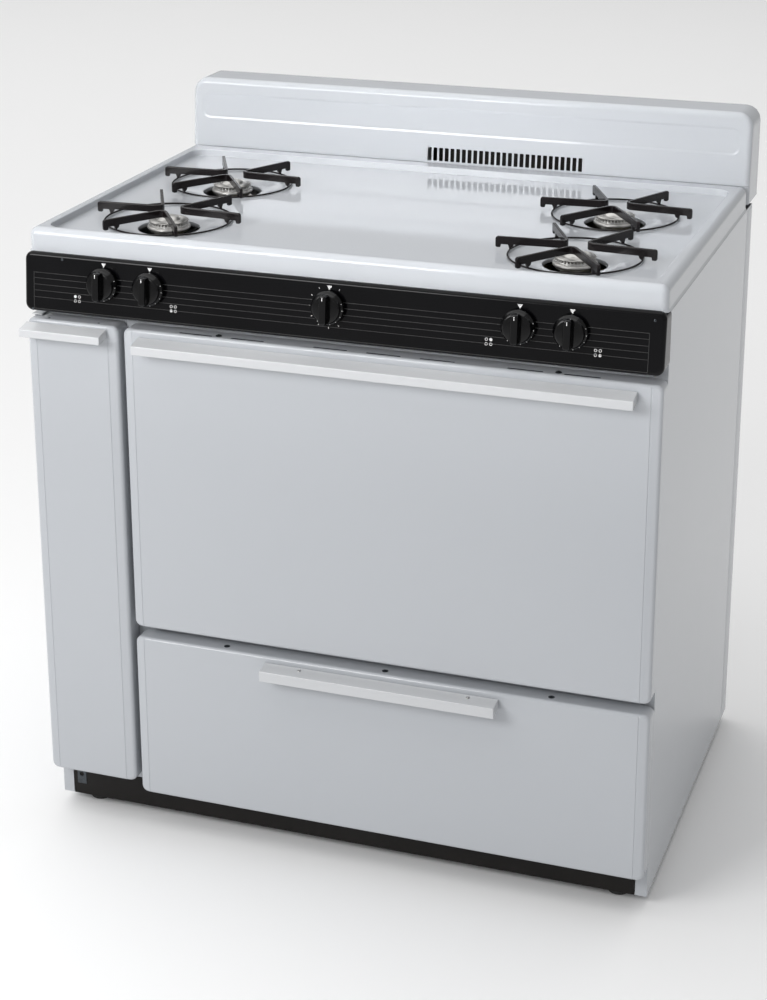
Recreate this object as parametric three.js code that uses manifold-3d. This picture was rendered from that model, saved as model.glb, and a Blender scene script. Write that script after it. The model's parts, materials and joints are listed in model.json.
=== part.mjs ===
// Freestanding gas range, 36 inch class, built as an assembly of separate sheet-metal,
// cast and moulded pieces. Millimetres. X runs left to right, Y front to back, Z up.
// The model is laid out with Y = 0 on the front face of the body and Z = 0 on the floor;
// at the end the whole range is moved so that its origin is under the middle of its box.
import * as THREE from "three";
import { mergeVertices } from "three/addons/utils/BufferGeometryUtils.js";
import Module from "manifold-3d";

const wasm = await Module();
wasm.setup();

// ---------------------------------------------------------------- driving dimensions
const HALF = 457; // half the overall width
const HEIGHT = 1024; // floor to the top of the backguard
const SHEET = 1.5; // thickness of the folded sheets
const THIN = 1.2; // thickness of the liners
const GAP = 0.4; // clearance where two pieces meet

const BODY = { half: 456, depth: 595, floor: 16, top: 878, flange: 17 };
const FRAME_HALF = 438.5; // front frame and kick panel fit between the side flanges
const FRAME_DEPTH = 12; // depth of the rims around the front openings

const OVEN = { x0: -243, x1: 392, y1: 482, z0: 372, z1: 752 };
const STORAGE = { x0: -430, x1: -328, y1: 540, z0: 84, z1: 768 };
const DRAWER_HOLE = { x0: -285, x1: 420, z0: 80, z1: 300 };
const INSULATION = 24.5;

const COOKTOP = { front: -21, rear: 549, top: 916, skirt: 880, well: 906, corner: 12 };
const WELL = { x: 435, y0: -3, y1: 514 };
const BOWL = { edge: 92, hole: 44, drop: 10 };
const BURNER_X = 300;
const BURNER_Y = { front: 113, rear: 345 };
const GRATE_TOP = 926;

const PANEL = { z0: 800, z1: 884, yBottom: -38, yTop: -30, wall: 2 };
const KNOB_Z = 848;
const KNOB_X = { left_rear: -334, left_front: -264, oven: 0, right_rear: 264, right_front: 334 };
const PANEL_TILT = Math.atan2(PANEL.yTop - PANEL.yBottom, PANEL.z1 - PANEL.z0);
const KNOB_Y = PANEL.yBottom + (KNOB_Z - PANEL.z0) * Math.tan(PANEL_TILT);

const GUARD = { front: 549.5, lean: 9.5, rear: 626, foot: 885, corner: 22, wall: 1.5 };
const VENT = { centre: 73, count: 27, pitch: 9.4, width: 6, z0: 918, z1: 938 };

const FACE = { front: -35, back: -3.5, corner: 10 }; // doors and drawer front
const OVEN_DOOR = { x0: -308, x1: 457, z0: 332, z1: 787 };
const STORAGE_DOOR = { x0: -457, x1: -316, z0: 74, z1: 788 };
const DRAWER_FRONT = { x0: -308, x1: 457, z0: 60, z1: 315.5 };
const HANDLE = { reach: 25, wall: 2 };
const SOFT_EDGE = 7; // how far pressed edges turn

const OVEN_PIVOT = { y: -16, z: 336 }; // the axis that the oven door drops about
const ARM = { inner: 96, outer: 104, half: 1.5, slot: 4, places: [-285, 428] };
const STORAGE_PIN = { x: -452, y: -14, r: 2.5 }; // the axis that the storage door swings about

const FOOT = { x: 409, yFront: 32, yRear: 560, pad: 16, stud: 5 };
const PIPE = { y: 12, z: 812, r: 9, turn: -380 };

// ---------------------------------------------------------------- materials
function finish(color, roughness, metalness) {
  return new THREE.MeshStandardMaterial({ color, roughness, metalness });
}

const WHITE_ENAMEL = finish("#dfe2e8", 0.22, 0);
const HANDLE_WHITE = finish("#e9e7e2", 0.25, 0);
const BLACK_ENAMEL = finish("#161514", 0.3, 0);
const BLACK_PANEL = finish("#0d0d0f", 0.25, 0);
const BLACK_PLASTIC = finish("#0a0a0b", 0.3, 0);
const OVEN_ENAMEL = finish("#2c3038", 0.35, 0);
const GALVANISED = finish("#9a9da0", 0.45, 0.9);
const CAST_ALUMINIUM = finish("#b4b4b0", 0.4, 0.9);
const BRASS = finish("#b08d4a", 0.35, 0.95);
const CHROME = finish("#d0d2d5", 0.12, 1);
const GLASS_WOOL = finish("#d8c98a", 0.95, 0);
const WOVEN_SEAL = finish("#77746d", 0.9, 0);
const FOOT_PLASTIC = finish("#1b1b1b", 0.6, 0);

// ---------------------------------------------------------------- solids
function signedVolume(points, faces) {
  let sum = 0;
  const a = new THREE.Vector3();
  const b = new THREE.Vector3();
  const c = new THREE.Vector3();
  for (let i = 0; i < faces.length; i += 3) {
    a.fromArray(points, faces[i] * 3);
    b.fromArray(points, faces[i + 1] * 3);
    c.fromArray(points, faces[i + 2] * 3);
    sum += a.dot(b.cross(c));
  }
  return sum;
}

// A three.js geometry as a solid: shared vertices merged, sliver faces at a lathe's
// axis dropped, and faces turned to point outwards.
function toSolid(geometry) {
  const bare = new THREE.BufferGeometry();
  bare.setAttribute("position", geometry.getAttribute("position"));
  if (geometry.index) {
    bare.setIndex(geometry.index);
  }
  const merged = mergeVertices(bare, 1e-3);
  const points = Float32Array.from(merged.getAttribute("position").array);
  const all = merged.index.array;
  const faces = [];
  for (let i = 0; i < all.length; i += 3) {
    const [a, b, c] = [all[i], all[i + 1], all[i + 2]];
    if (a !== b && b !== c && c !== a) {
      faces.push(a, b, c);
    }
  }
  if (signedVolume(points, faces) < 0) {
    faces.reverse();
  }
  const triVerts = Uint32Array.from(faces);
  return new wasm.Manifold(new wasm.Mesh({ numProp: 3, vertProperties: points, triVerts }));
}

function toGeometry(solid) {
  const mesh = solid.getMesh();
  const geometry = new THREE.BufferGeometry();
  geometry.setAttribute("position", new THREE.BufferAttribute(mesh.vertProperties, 3));
  geometry.setIndex(new THREE.BufferAttribute(mesh.triVerts, 1));
  geometry.computeVertexNormals();
  return geometry;
}

function join(solids) {
  return solids.reduce((whole, next) => whole.add(next));
}

function cut(solid, tools) {
  return tools.reduce((rest, tool) => rest.subtract(tool), solid);
}

function block(x0, x1, y0, y1, z0, z1) {
  const box = new THREE.BoxGeometry(Math.abs(x1 - x0), Math.abs(y1 - y0), Math.abs(z1 - z0));
  box.translate((x0 + x1) / 2, (y0 + y1) / 2, (z0 + z1) / 2);
  return toSolid(box);
}

// A box open towards the front, or closed on every side but with a given inner box.
function tray(outer, inner) {
  return block(...outer).subtract(block(...inner));
}

// Axis letters name the direction that a rod or a prism runs along.
const AXIS_TURN = {
  X: new THREE.Matrix4().makeBasis(
    new THREE.Vector3(0, 1, 0),
    new THREE.Vector3(0, 0, 1),
    new THREE.Vector3(1, 0, 0),
  ),
  Y: new THREE.Matrix4().makeBasis(
    new THREE.Vector3(1, 0, 0),
    new THREE.Vector3(0, 0, 1),
    new THREE.Vector3(0, -1, 0),
  ),
  Z: new THREE.Matrix4(),
};

// Extrudes an outline from one place to another along an axis. The outline is drawn in
// (y, z) for X, (x, z) for Y and (x, y) for Z.
function prism(axis, shape, from, to, extra = {}) {
  const depth = to - from;
  const options = { depth, bevelEnabled: false, curveSegments: 2, ...extra };
  const geometry = new THREE.ExtrudeGeometry(shape, options);
  geometry.applyMatrix4(AXIS_TURN[axis]);
  const place = { X: [from, 0, 0], Y: [0, to, 0], Z: [0, 0, from] }[axis];
  geometry.translate(...place);
  return toSolid(geometry);
}

// A round rod; c1 and c2 place its axis in the two other directions, in X, Y, Z order.
function rod(axis, radius, from, to, c1, c2, sides = 12) {
  const shape = new THREE.Shape();
  shape.absarc(c1, c2, radius, 0, Math.PI * 2);
  return prism(axis, shape, from, to, { curveSegments: sides });
}

function outline(points) {
  return new THREE.Shape(points.map(([u, v]) => new THREE.Vector2(u, v)));
}

// A rectangle whose lower and upper corners can be rounded differently.
function roundedRect(u0, u1, v0, v1, lower, upper = lower) {
  const shape = new THREE.Shape();
  shape.moveTo(u0 + lower, v0);
  shape.lineTo(u1 - lower, v0);
  shape.absarc(u1 - lower, v0 + lower, lower, -Math.PI / 2, 0);
  shape.lineTo(u1, v1 - upper);
  shape.absarc(u1 - upper, v1 - upper, upper, 0, Math.PI / 2);
  shape.lineTo(u0 + upper, v1);
  shape.absarc(u0 + upper, v1 - upper, upper, Math.PI / 2, Math.PI);
  shape.lineTo(u0, v0 + lower);
  shape.absarc(u0 + lower, v0 + lower, lower, Math.PI, Math.PI * 1.5);
  return shape;
}

// A turned piece about the vertical line through (x, y); the profile is (radius, z).
function turned(profile, x, y, sides = 16) {
  const points = profile.map(([r, z]) => new THREE.Vector2(r, z));
  const geometry = new THREE.LatheGeometry(points, sides);
  geometry.rotateX(Math.PI / 2);
  geometry.translate(x, y, 0);
  return toSolid(geometry);
}

const range = new THREE.Group();

function piece(name, solid, material, parent = range) {
  const mesh = new THREE.Mesh(toGeometry(solid), material);
  mesh.name = name;
  parent.add(mesh);
  return mesh;
}

const grown = (box, by) => [box.x0 - by, box.x1 + by, box.z0 - by, box.z1 + by];

// ---------------------------------------------------------------- chassis
function sidePanel(side) {
  const outer = side * BODY.half;
  const skin = side * (BODY.half - SHEET);
  const flange = side * (BODY.half - BODY.flange);
  return tray(
    [flange, outer, 0, BODY.depth, BODY.floor, BODY.top],
    [flange - side, skin, SHEET, BODY.depth - SHEET, BODY.floor + SHEET, BODY.top + 1],
  );
}

const FRAME = { z0: 62, z1: 799 };

function frontFrame() {
  const holes = [OVEN, STORAGE, DRAWER_HOLE];
  const plate = block(-FRAME_HALF, FRAME_HALF, 0, SHEET, FRAME.z0, FRAME.z1);
  const rims = holes.map((hole) => {
    const [x0, x1, z0, z1] = grown(hole, SHEET);
    return block(x0, x1, 0, FRAME_DEPTH, z0, z1);
  });
  const openings = holes.map((hole) => {
    const [x0, x1, z0, z1] = grown(hole, 0);
    return block(x0, x1, -1, FRAME_DEPTH + 1, z0, z1);
  });
  const crossing = OVEN_PIVOT.z + (ARM.inner + ARM.outer) / 2;
  const armSlots = ARM.places.map((x) =>
    block(x - ARM.slot, x + ARM.slot, -1, FRAME_DEPTH, crossing - 9, crossing + 7));
  return cut(join([plate, ...rims]), [...openings, ...armSlots]);
}

const BACK = { half: 453, y: 589, z0: 22, z1: 872, gasHole: 17 };
const RIB = { half: 12, depth: 3, z0: 80, z1: 800 };

function backPanel() {
  const sheet = block(-BACK.half, BACK.half, BACK.y, BACK.y + SHEET, BACK.z0, BACK.z1);
  const gasHole = rod("Y", BACK.gasHole, BACK.y - 5, BACK.y + 10, PIPE.turn, PIPE.z);
  const ribs = [-200, 0, 200].map((x) =>
    block(x - RIB.half, x + RIB.half, BACK.y + 1, BACK.y + RIB.depth, RIB.z0, RIB.z1));
  return cut(join([sheet, ...ribs]), [gasHole]);
}

const BASE = { half: 450, y0: 6, y1: 586, z0: 20, z1: 32 };

function basePan() {
  const { half, y0, y1, z0, z1 } = BASE;
  const pan = tray(
    [-half, half, y0, y1, z0, z1],
    [-half + SHEET, half - SHEET, y0 + SHEET, y1 - SHEET, z0 + SHEET, z1 + 8],
  );
  const holes = feetPlaces().map((foot) => rod("Z", FOOT.stud + 1, 10, 50, foot.x, foot.y));
  const airSlots = [-200, 0, 200].map((at) => block(at - 40, at + 40, 280, 300, 10, 25));
  return cut(pan, [...holes, ...airSlots]);
}

function kickPanel() {
  const [x, low, high] = [FRAME_HALF - 0.5, BODY.floor, FRAME.z0 - 1];
  return join([
    block(-x, x, 0, SHEET, low, high),
    block(-x + 1, x - 1, 0, FRAME_DEPTH, low, low + SHEET),
    block(-x + 1, x - 1, 0, FRAME_DEPTH, high - SHEET, high),
  ]);
}

function feetPlaces() {
  const places = [];
  for (const [side, x] of [["left", -FOOT.x], ["right", FOOT.x]]) {
    places.push({ name: `foot_front_${side}`, x, y: FOOT.yFront });
    places.push({ name: `foot_rear_${side}`, x, y: FOOT.yRear });
  }
  return places;
}

// A levelling foot: a ribbed pad with its threaded stud.
function foot(place) {
  const profile = [
    [0, 0],
    [FOOT.pad - 2, 0],
    [FOOT.pad, 2],
    [FOOT.pad, 9],
    [FOOT.pad - 5, 12],
    [FOOT.stud, 12],
    [FOOT.stud, 42],
    [0, 42],
  ];
  return turned(profile, place.x, place.y, 12);
}

function controlPanel() {
  const { z0, z1, yBottom, yTop, wall } = PANEL;
  const back = -0.5;
  const front = roundedRect(-HALF, HALF, z0, z1, 12, 8);
  const inner = roundedRect(-HALF + wall, HALF - wall, z0 + wall, z1 - wall, 10, 6);
  const wedge = outline([[yBottom, z0], [back, z0], [back, z1], [yTop, z1]]);
  const hollow = outline([[yBottom + wall, z0], [10, z0], [10, z1], [yTop + wall, z1]]);
  const outside = prism("Y", front, -45, back).intersect(prism("X", wedge, -HALF - 1, HALF + 1));
  const inside = prism("Y", inner, -45, 5).intersect(prism("X", hollow, -HALF, HALF));
  const lipRoom = block(-HALF - 1, HALF + 1, COOKTOP.front - 1.5, 5, 879, z1 + 1);
  const shaftHoles = Object.values(KNOB_X).map((x) => {
    const hole = rod("Y", 6.5, -12, 12, 0, 0, 8);
    return hole.rotate([THREE.MathUtils.radToDeg(-PANEL_TILT), 0, 0]).translate([x, KNOB_Y, KNOB_Z]);
  });
  return cut(outside, [inside, lipRoom, ...shaftHoles]);
}

function guardProfile(inset, bottom, rear) {
  const top = HEIGHT - inset;
  const front = GUARD.front + inset;
  const round = 9;
  const shape = new THREE.Shape();
  shape.moveTo(front, bottom);
  shape.lineTo(front, COOKTOP.top + 2);
  shape.lineTo(front + GUARD.lean - 1, top - round);
  shape.quadraticCurveTo(front + GUARD.lean, top, front + GUARD.lean + round, top);
  shape.lineTo(rear, top);
  shape.lineTo(rear, bottom);
  return shape;
}

function backguardShell() {
  const { rear, foot: low, corner, wall } = GUARD;
  const face = roundedRect(-HALF, HALF, low, HEIGHT, 0.01, corner);
  const faceInner = roundedRect(-HALF + wall, HALF - wall, low - 20, HEIGHT - wall, 0.01, corner - wall);
  const outside = prism("Y", face, 540, rear).intersect(
    prism("X", guardProfile(0, low, rear), -HALF - 1, HALF + 1),
  );
  const inside = prism("Y", faceInner, 540, rear + 10).intersect(
    prism("X", guardProfile(wall, low - 10, rear + 5), -HALF, HALF),
  );
  return cut(outside, [inside, ...ventSlots()]);
}

function ventSlots() {
  const slots = [];
  for (let i = 0; i < VENT.count; i += 1) {
    const x = VENT.centre + (i - (VENT.count - 1) / 2) * VENT.pitch;
    slots.push(block(x - VENT.width / 2, x + VENT.width / 2, 540, 556, VENT.z0, VENT.z1));
  }
  return slots;
}

function backguardCover() {
  const plate = prism(
    "Y",
    roundedRect(-HALF + 0.5, HALF - 0.5, GUARD.foot, HEIGHT - 0.5, 0.01, GUARD.corner),
    GUARD.rear + GAP,
    GUARD.rear + GAP + THIN + 0.4,
  );
  const louvres = [];
  for (const x of [-300, -180, 180, 300]) {
    for (const z of [945, 965, 985]) {
      louvres.push(block(x - 40, x + 40, 620, 640, z, z + 5));
    }
  }
  return cut(plate, louvres);
}

const FLUE = { x0: -50, x1: 196, y0: 556, y1: 586, z0: 700, z1: 945 };
const FLUE_NECK = { x0: -20, x1: 166, y0: 509, z0: 702, z1: 742 };

function flueDuct() {
  const outer = join([
    block(FLUE.x0, FLUE.x1, FLUE.y0, FLUE.y1, FLUE.z0, FLUE.z1),
    block(FLUE_NECK.x0, FLUE_NECK.x1, FLUE_NECK.y0, FLUE.y0 + 5, FLUE_NECK.z0, FLUE_NECK.z1),
  ]);
  const shaft = block(
    FLUE.x0 + THIN, FLUE.x1 - THIN,
    FLUE.y0 + THIN, FLUE.y1 - THIN,
    FLUE.z0 + THIN, FLUE.z1 - THIN,
  );
  const neck = block(
    FLUE_NECK.x0 + THIN, FLUE_NECK.x1 - THIN,
    FLUE_NECK.y0 - 1, FLUE.y0 + 6,
    FLUE_NECK.z0 + THIN, FLUE_NECK.z1 - THIN,
  );
  const mouth = block(FLUE.x0 + 5, FLUE.x1 - 5, FLUE.y0 - 1, FLUE.y0 + 4, VENT.z0 - 1, VENT.z1 + 3);
  return cut(outer, [shaft, neck, mouth]);
}

// ---------------------------------------------------------------- oven and storage
const RACK_LEVELS = [467, 532, 597]; // underside of a rack on each pair of ledges
const RACK_CHANNEL = 12; // clear height of the channel that a rack slides in
const LEDGE = { width: 9, height: 4, y0: 30, y1: 478 };

function ovenLiner() {
  const shell = tray(
    [OVEN.x0 - THIN, OVEN.x1 + THIN, FRAME_DEPTH + 0.5, OVEN.y1 + THIN, OVEN.z0 - THIN, OVEN.z1 + THIN],
    [OVEN.x0, OVEN.x1, 0, OVEN.y1, OVEN.z0, OVEN.z1],
  );
  const flange = tray(
    [OVEN.x0 - 9, OVEN.x1 + 9, FRAME_DEPTH + 0.5, FRAME_DEPTH + 2, OVEN.z0 - 9, OVEN.z1 + 9],
    [OVEN.x0, OVEN.x1, 0, 30, OVEN.z0, OVEN.z1],
  );
  const flueHole = block(
    FLUE_NECK.x0 + 4, FLUE_NECK.x1 - 4, 470, 490, FLUE_NECK.z0 + 4, FLUE_NECK.z1 - 4,
  );
  const heatSlots = [-205, 354].map((x) => block(x - 20, x + 20, 60, 430, 360, 374));
  return cut(join([shell, flange]), [flueHole, ...heatSlots]);
}

// A ladder on each side wall, with two posts and a pair of ledges for each rack level, and a
// tie behind the racks that holds the two ladders together.
function rackGuides() {
  const sides = [[OVEN.x0, 1], [OVEN.x1, -1]].map(([wall, inward]) => {
    const near = wall + inward * GAP;
    const bars = [LEDGE.y0 + 10, LEDGE.y1 - 24].map((y) =>
      block(near, near + inward * 2, y, y + 14, RACK_LEVELS[0] - 12, RACK_LEVELS[2] + 24));
    for (const level of RACK_LEVELS) {
      for (const z of [level - LEDGE.height - 0.3, level + RACK_CHANNEL]) {
        bars.push(block(near, wall + inward * LEDGE.width, LEDGE.y0, LEDGE.y1, z, z + LEDGE.height));
      }
    }
    return join(bars);
  });
  const tieTop = RACK_LEVELS[0] - 0.3;
  const tie = block(
    OVEN.x0 + 1, OVEN.x1 - 1, LEDGE.y1 - LEDGE.height, LEDGE.y1, tieTop - LEDGE.height, tieTop,
  );
  return join([...sides, tie]);
}

function ovenInsulation() {
  const gap = THIN + 0.6;
  const t = INSULATION + THIN;
  const blanket = tray(
    [OVEN.x0 - t, OVEN.x1 + t, 16, OVEN.y1 + t, OVEN.z0, OVEN.z1 + t],
    [OVEN.x0 - gap, OVEN.x1 + gap, 10, OVEN.y1 + gap, OVEN.z0 - 5, OVEN.z1 + gap],
  );
  const flueHole = block(FLUE_NECK.x0 - 1, FLUE_NECK.x1 + 1, 470, 520, FLUE_NECK.z0 - 1, FLUE_NECK.z1 + 1);
  return cut(blanket, [flueHole]);
}

function ovenFloorPlate() {
  const [x0, x1] = [OVEN.x0 + 3, OVEN.x1 - 3];
  const z = OVEN.z0 + 4;
  const plate = join([
    block(x0, x1, 18, 478, z, z + SHEET),
    block(x0, x0 + SHEET, 18, 478, OVEN.z0 + GAP, z + 1),
    block(x1 - SHEET, x1, 18, 478, OVEN.z0 + GAP, z + 1),
  ]);
  const slots = [];
  for (const x of [-205, 354]) {
    for (const y of [70, 170, 270, 370]) {
      slots.push(block(x - 9, x + 9, y, y + 70, z - 5, z + 5));
    }
  }
  return cut(plate, slots);
}

function ovenBurner() {
  const x = (OVEN.x0 + OVEN.x1) / 2;
  const z = 344;
  return join([
    rod("Y", 13, 34, 430, x, z, 14),
    rod("Y", 8, 18, 40, x, z, 12),
    block(x - 2, x + 2, 60, 410, z, 361),
    block(x - 70, x + 70, 50, 420, 361, 362.5),
  ]);
}

function ovenRack(level) {
  const [x0, x1] = [OVEN.x0 + 5, OVEN.x1 - 5];
  const [y0, y1] = [58, 470];
  const frameR = 3.2;
  const wireR = 2;
  const z = level + frameR + 0.2;
  const top = z + frameR;
  const border = tray([x0, x1, y0, y1, level, top], [
    x0 + 2 * frameR, x1 - 2 * frameR, y0 + 2 * frameR, y1 - 2 * frameR, level - 1, top + 1,
  ]);
  const middle = (y0 + y1) / 2;
  const wires = [block(x0 + 1, x1 - 1, middle - frameR, middle + frameR, level + 0.5, z + 1)];
  const count = 9;
  for (let i = 1; i <= count; i += 1) {
    const x = x0 + ((x1 - x0) * i) / (count + 1);
    wires.push(block(x - wireR, x + wireR, y0 + frameR, y1 - frameR, z, z + 2 * wireR));
  }
  return join([border, ...wires]);
}

function storageLiner() {
  const { x0, x1, y1, z0, z1 } = STORAGE;
  return tray(
    [x0 - THIN, x1 + THIN, FRAME_DEPTH + 0.5, y1 + THIN, z0 - THIN, z1 + THIN],
    [x0, x1, 0, y1, z0, z1],
  );
}

// A leaf down the body's front flange, with an ear above and below the storage door, each
// holding a pin that the door turns on.
function storageHinge() {
  const { x, y, r } = STORAGE_PIN;
  const [left, right, leaf] = [-BODY.half, -BODY.half + 16, 1.2];
  const [above, below] = [STORAGE_DOOR.z1 + 1, STORAGE_DOOR.z0 - 1];
  const pinLength = 10;
  return join([
    block(left, right, -GAP - leaf, -GAP, below - leaf, above + leaf),
    block(left, right, y - 6, -GAP, above, above + leaf),
    block(left, right, y - 6, -GAP, below - leaf, below),
    rod("Z", r, above - pinLength, above + 1, x, y, 6),
    rod("Z", r, below - 1, below + pinLength, x, y, 6),
  ]);
}

function drawerTrack() {
  const rails = [];
  for (const [x, out] of [[DRAWER_HOLE.x0 + 1, 1], [DRAWER_HOLE.x1 - 1, -1]]) {
    rails.push(block(x, x + out * SHEET, 14, 500, 96, 120));
    rails.push(block(x, x + out * 15, 14, 500, 96, 96 + SHEET));
  }
  const tie = block(DRAWER_HOLE.x0 + 1, DRAWER_HOLE.x1 - 1, 500 - SHEET, 500, 96, 120);
  return join([...rails, tie]);
}

// ---------------------------------------------------------------- gas train
function gasManifold() {
  const nipples = Object.entries(KNOB_X).map(([name, x]) => {
    const top = name === "oven" ? 826 : 831;
    return rod("Z", 6, PIPE.z, top, x, PIPE.y, 6);
  });
  return join([
    rod("X", PIPE.r, PIPE.turn - PIPE.r, 350, PIPE.y, PIPE.z, 12),
    rod("Y", PIPE.r, PIPE.y, 520, PIPE.turn, PIPE.z, 12),
    ...nipples,
  ]);
}

function pressureRegulator() {
  const x = PIPE.turn;
  const y = 550;
  const body = join([
    rod("Y", 12, 520.5, 602, x, PIPE.z, 16),
    rod("Z", 26, PIPE.z - 14, PIPE.z + 14, x, y, 16),
    rod("Z", 18, PIPE.z + 10, PIPE.z + 26, x, y, 12),
  ]);
  return body.subtract(rod("Y", 7, 580, 610, x, PIPE.z, 12));
}

// Valves, stems and knobs are drawn about the point where a shaft leaves the panel, with
// -Y along the shaft towards the cook, and then tilted and placed with their group.
const STEM_BORE = 4.6;
const VALVE_RAIL = { half: 350, z0: 18.5, z1: 20 };

function burnerValve() {
  const body = join([
    block(-10, 10, 30, 60, -11, 11),
    rod("Y", 7, 22, 31, 0, 0, 8),
    rod("Y", 4.5, 59, 68, 0, 0, 6),
  ]);
  return body.subtract(rod("Y", STEM_BORE, 20, 46, 0, 0, 8));
}

// The four alike burner valves, screwed by their brackets to one rail behind the panel.
function burnerValves() {
  const bracket = block(-4, 4, 32, 40, 10, VALVE_RAIL.z1);
  const valves = BURNERS.map(({ name }) => burnerValve().add(bracket).translate([KNOB_X[name], 0, 0]));
  const { half, z0, z1 } = VALVE_RAIL;
  return join([...valves, block(-half, half, 30, 42, z0, z1)]);
}

function ovenThermostat() {
  const body = join([
    block(-24, 24, 28, 66, -14, 17),
    rod("Y", 8, 20, 30, 0, 0, 12),
  ]);
  return body.subtract(rod("Y", STEM_BORE, 18, 46, 0, 0, 8));
}

function valveStem() {
  const shaft = rod("Y", 4, -12, 42, 0, 0, 8);
  return shaft.subtract(block(-5, 5, -13, 4, 2.6, 6));
}

const KNOB = { radius: 23.5, clear: 4, skirt: 8, cap: 4, bar: 12, barHalf: 6 };

function knob() {
  const { radius, clear, skirt, cap, bar, barHalf } = KNOB;
  const skirtEnd = -clear - skirt;
  const capEnd = skirtEnd - cap;
  const grip = block(-barHalf, barHalf, capEnd - bar, capEnd + 1, -radius + 1, radius - 1);
  const whole = join([
    rod("Y", radius, skirtEnd, -clear, 0, 0, 16),
    rod("Y", radius - 3, capEnd, skirtEnd + 1, 0, 0, 12),
    grip,
  ]);
  return whole.subtract(rod("Y", STEM_BORE, -16.5, -clear + 1, 0, 0, 6));
}

const BURNER = { base: 868, head: 29, neck: 21, tube: 10.5, mouthY: 46, mouthZ: 843 };

// One burner casting: the round head, and the mixer tube that slopes down to its valve.
function burner(x, y, valveX) {
  const { head: wide, neck, mouthY, mouthZ, base } = BURNER;
  const profile = [
    [0, base], [neck - 3, base], [neck, base + 6], [neck, base + 24], [wide, base + 30],
    [wide, base + 35], [wide - 5, base + 38], [8, base + 40], [0, base + 40],
  ];
  const head = turned(profile, x, y, 12);
  const entry = base + 6;
  const bendY = y - 45;
  const slope = (at) => mouthZ + ((entry - mouthZ) * (at - mouthY)) / (y - mouthY);
  const path = new THREE.CatmullRomCurve3([
    new THREE.Vector3(x, y + 4, entry),
    new THREE.Vector3(x, y - 8, slope(y - 8)),
    new THREE.Vector3(valveX, bendY, slope(bendY)),
    new THREE.Vector3(valveX, mouthY, mouthZ),
  ]);
  const section = new THREE.Shape();
  section.absarc(0, 0, BURNER.tube, 0, Math.PI * 2);
  const tube = new THREE.ExtrudeGeometry(section, { steps: 6, curveSegments: 8, extrudePath: path });
  return head.add(toSolid(tube));
}

// ---------------------------------------------------------------- cooktop and grates
const BURNERS = [
  { name: "left_front", x: -BURNER_X, y: BURNER_Y.front },
  { name: "left_rear", x: -BURNER_X, y: BURNER_Y.rear },
  { name: "right_front", x: BURNER_X, y: BURNER_Y.front },
  { name: "right_rear", x: BURNER_X, y: BURNER_Y.rear },
];

const SOFT_BEVEL = {
  bevelEnabled: true,
  bevelSize: SOFT_EDGE,
  bevelThickness: SOFT_EDGE,
  bevelOffset: -SOFT_EDGE,
  bevelSegments: 2,
};

function softSlab(u0, u1, v0, v1, bottom, top, corner) {
  const flat = roundedRect(u0, u1, v0, v1, corner);
  const slab = prism("Z", flat, bottom, top - SOFT_EDGE, SOFT_BEVEL);
  return slab.intersect(block(u0 - 1, u1 + 1, v0 - 1, v1 + 1, bottom, top + 1));
}

function cooktop() {
  const { front, rear, top, skirt, well, corner } = COOKTOP;
  const outside = softSlab(-HALF, HALF, front, rear, skirt, top, corner);
  const inside = softSlab(
    -HALF + SHEET, HALF - SHEET, front + SHEET, rear - SHEET, skirt - 5, top - SHEET, corner - SHEET,
  );
  const wellShape = roundedRect(-WELL.x, WELL.x, WELL.y0, WELL.y1, 20);
  const wellWall = roundedRect(-WELL.x - SHEET, WELL.x + SHEET, WELL.y0 - SHEET, WELL.y1 + SHEET, 21.5);
  const { edge, hole, drop } = BOWL;
  const low = well - drop;
  const under = [
    [0, low - SHEET], [hole + 4, low - SHEET], [edge + SHEET, well - SHEET], [edge + SHEET, well], [0, well],
  ];
  const over = [
    [0, low - 5], [hole, low - 5], [hole, low], [hole + 6, low],
    [edge, well], [edge, well + 4], [0, well + 4],
  ];
  const bowlWalls = BURNERS.map(({ x, y }) => turned(under, x, y));
  const bowlRooms = BURNERS.map(({ x, y }) => turned(over, x, y));
  const shell = outside.subtract(inside);
  const basin = prism("Z", wellWall, well - SHEET, top - 1);
  const room = prism("Z", wellShape, well, top + 5);
  return cut(join([shell, basin, ...bowlWalls]), [room, ...bowlRooms]);
}

const GRATE = { reach: 112, apex: 15, ring: 92, ringZ: 908.6, wire: 1.8, bar: 5, deep: 10 };

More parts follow.
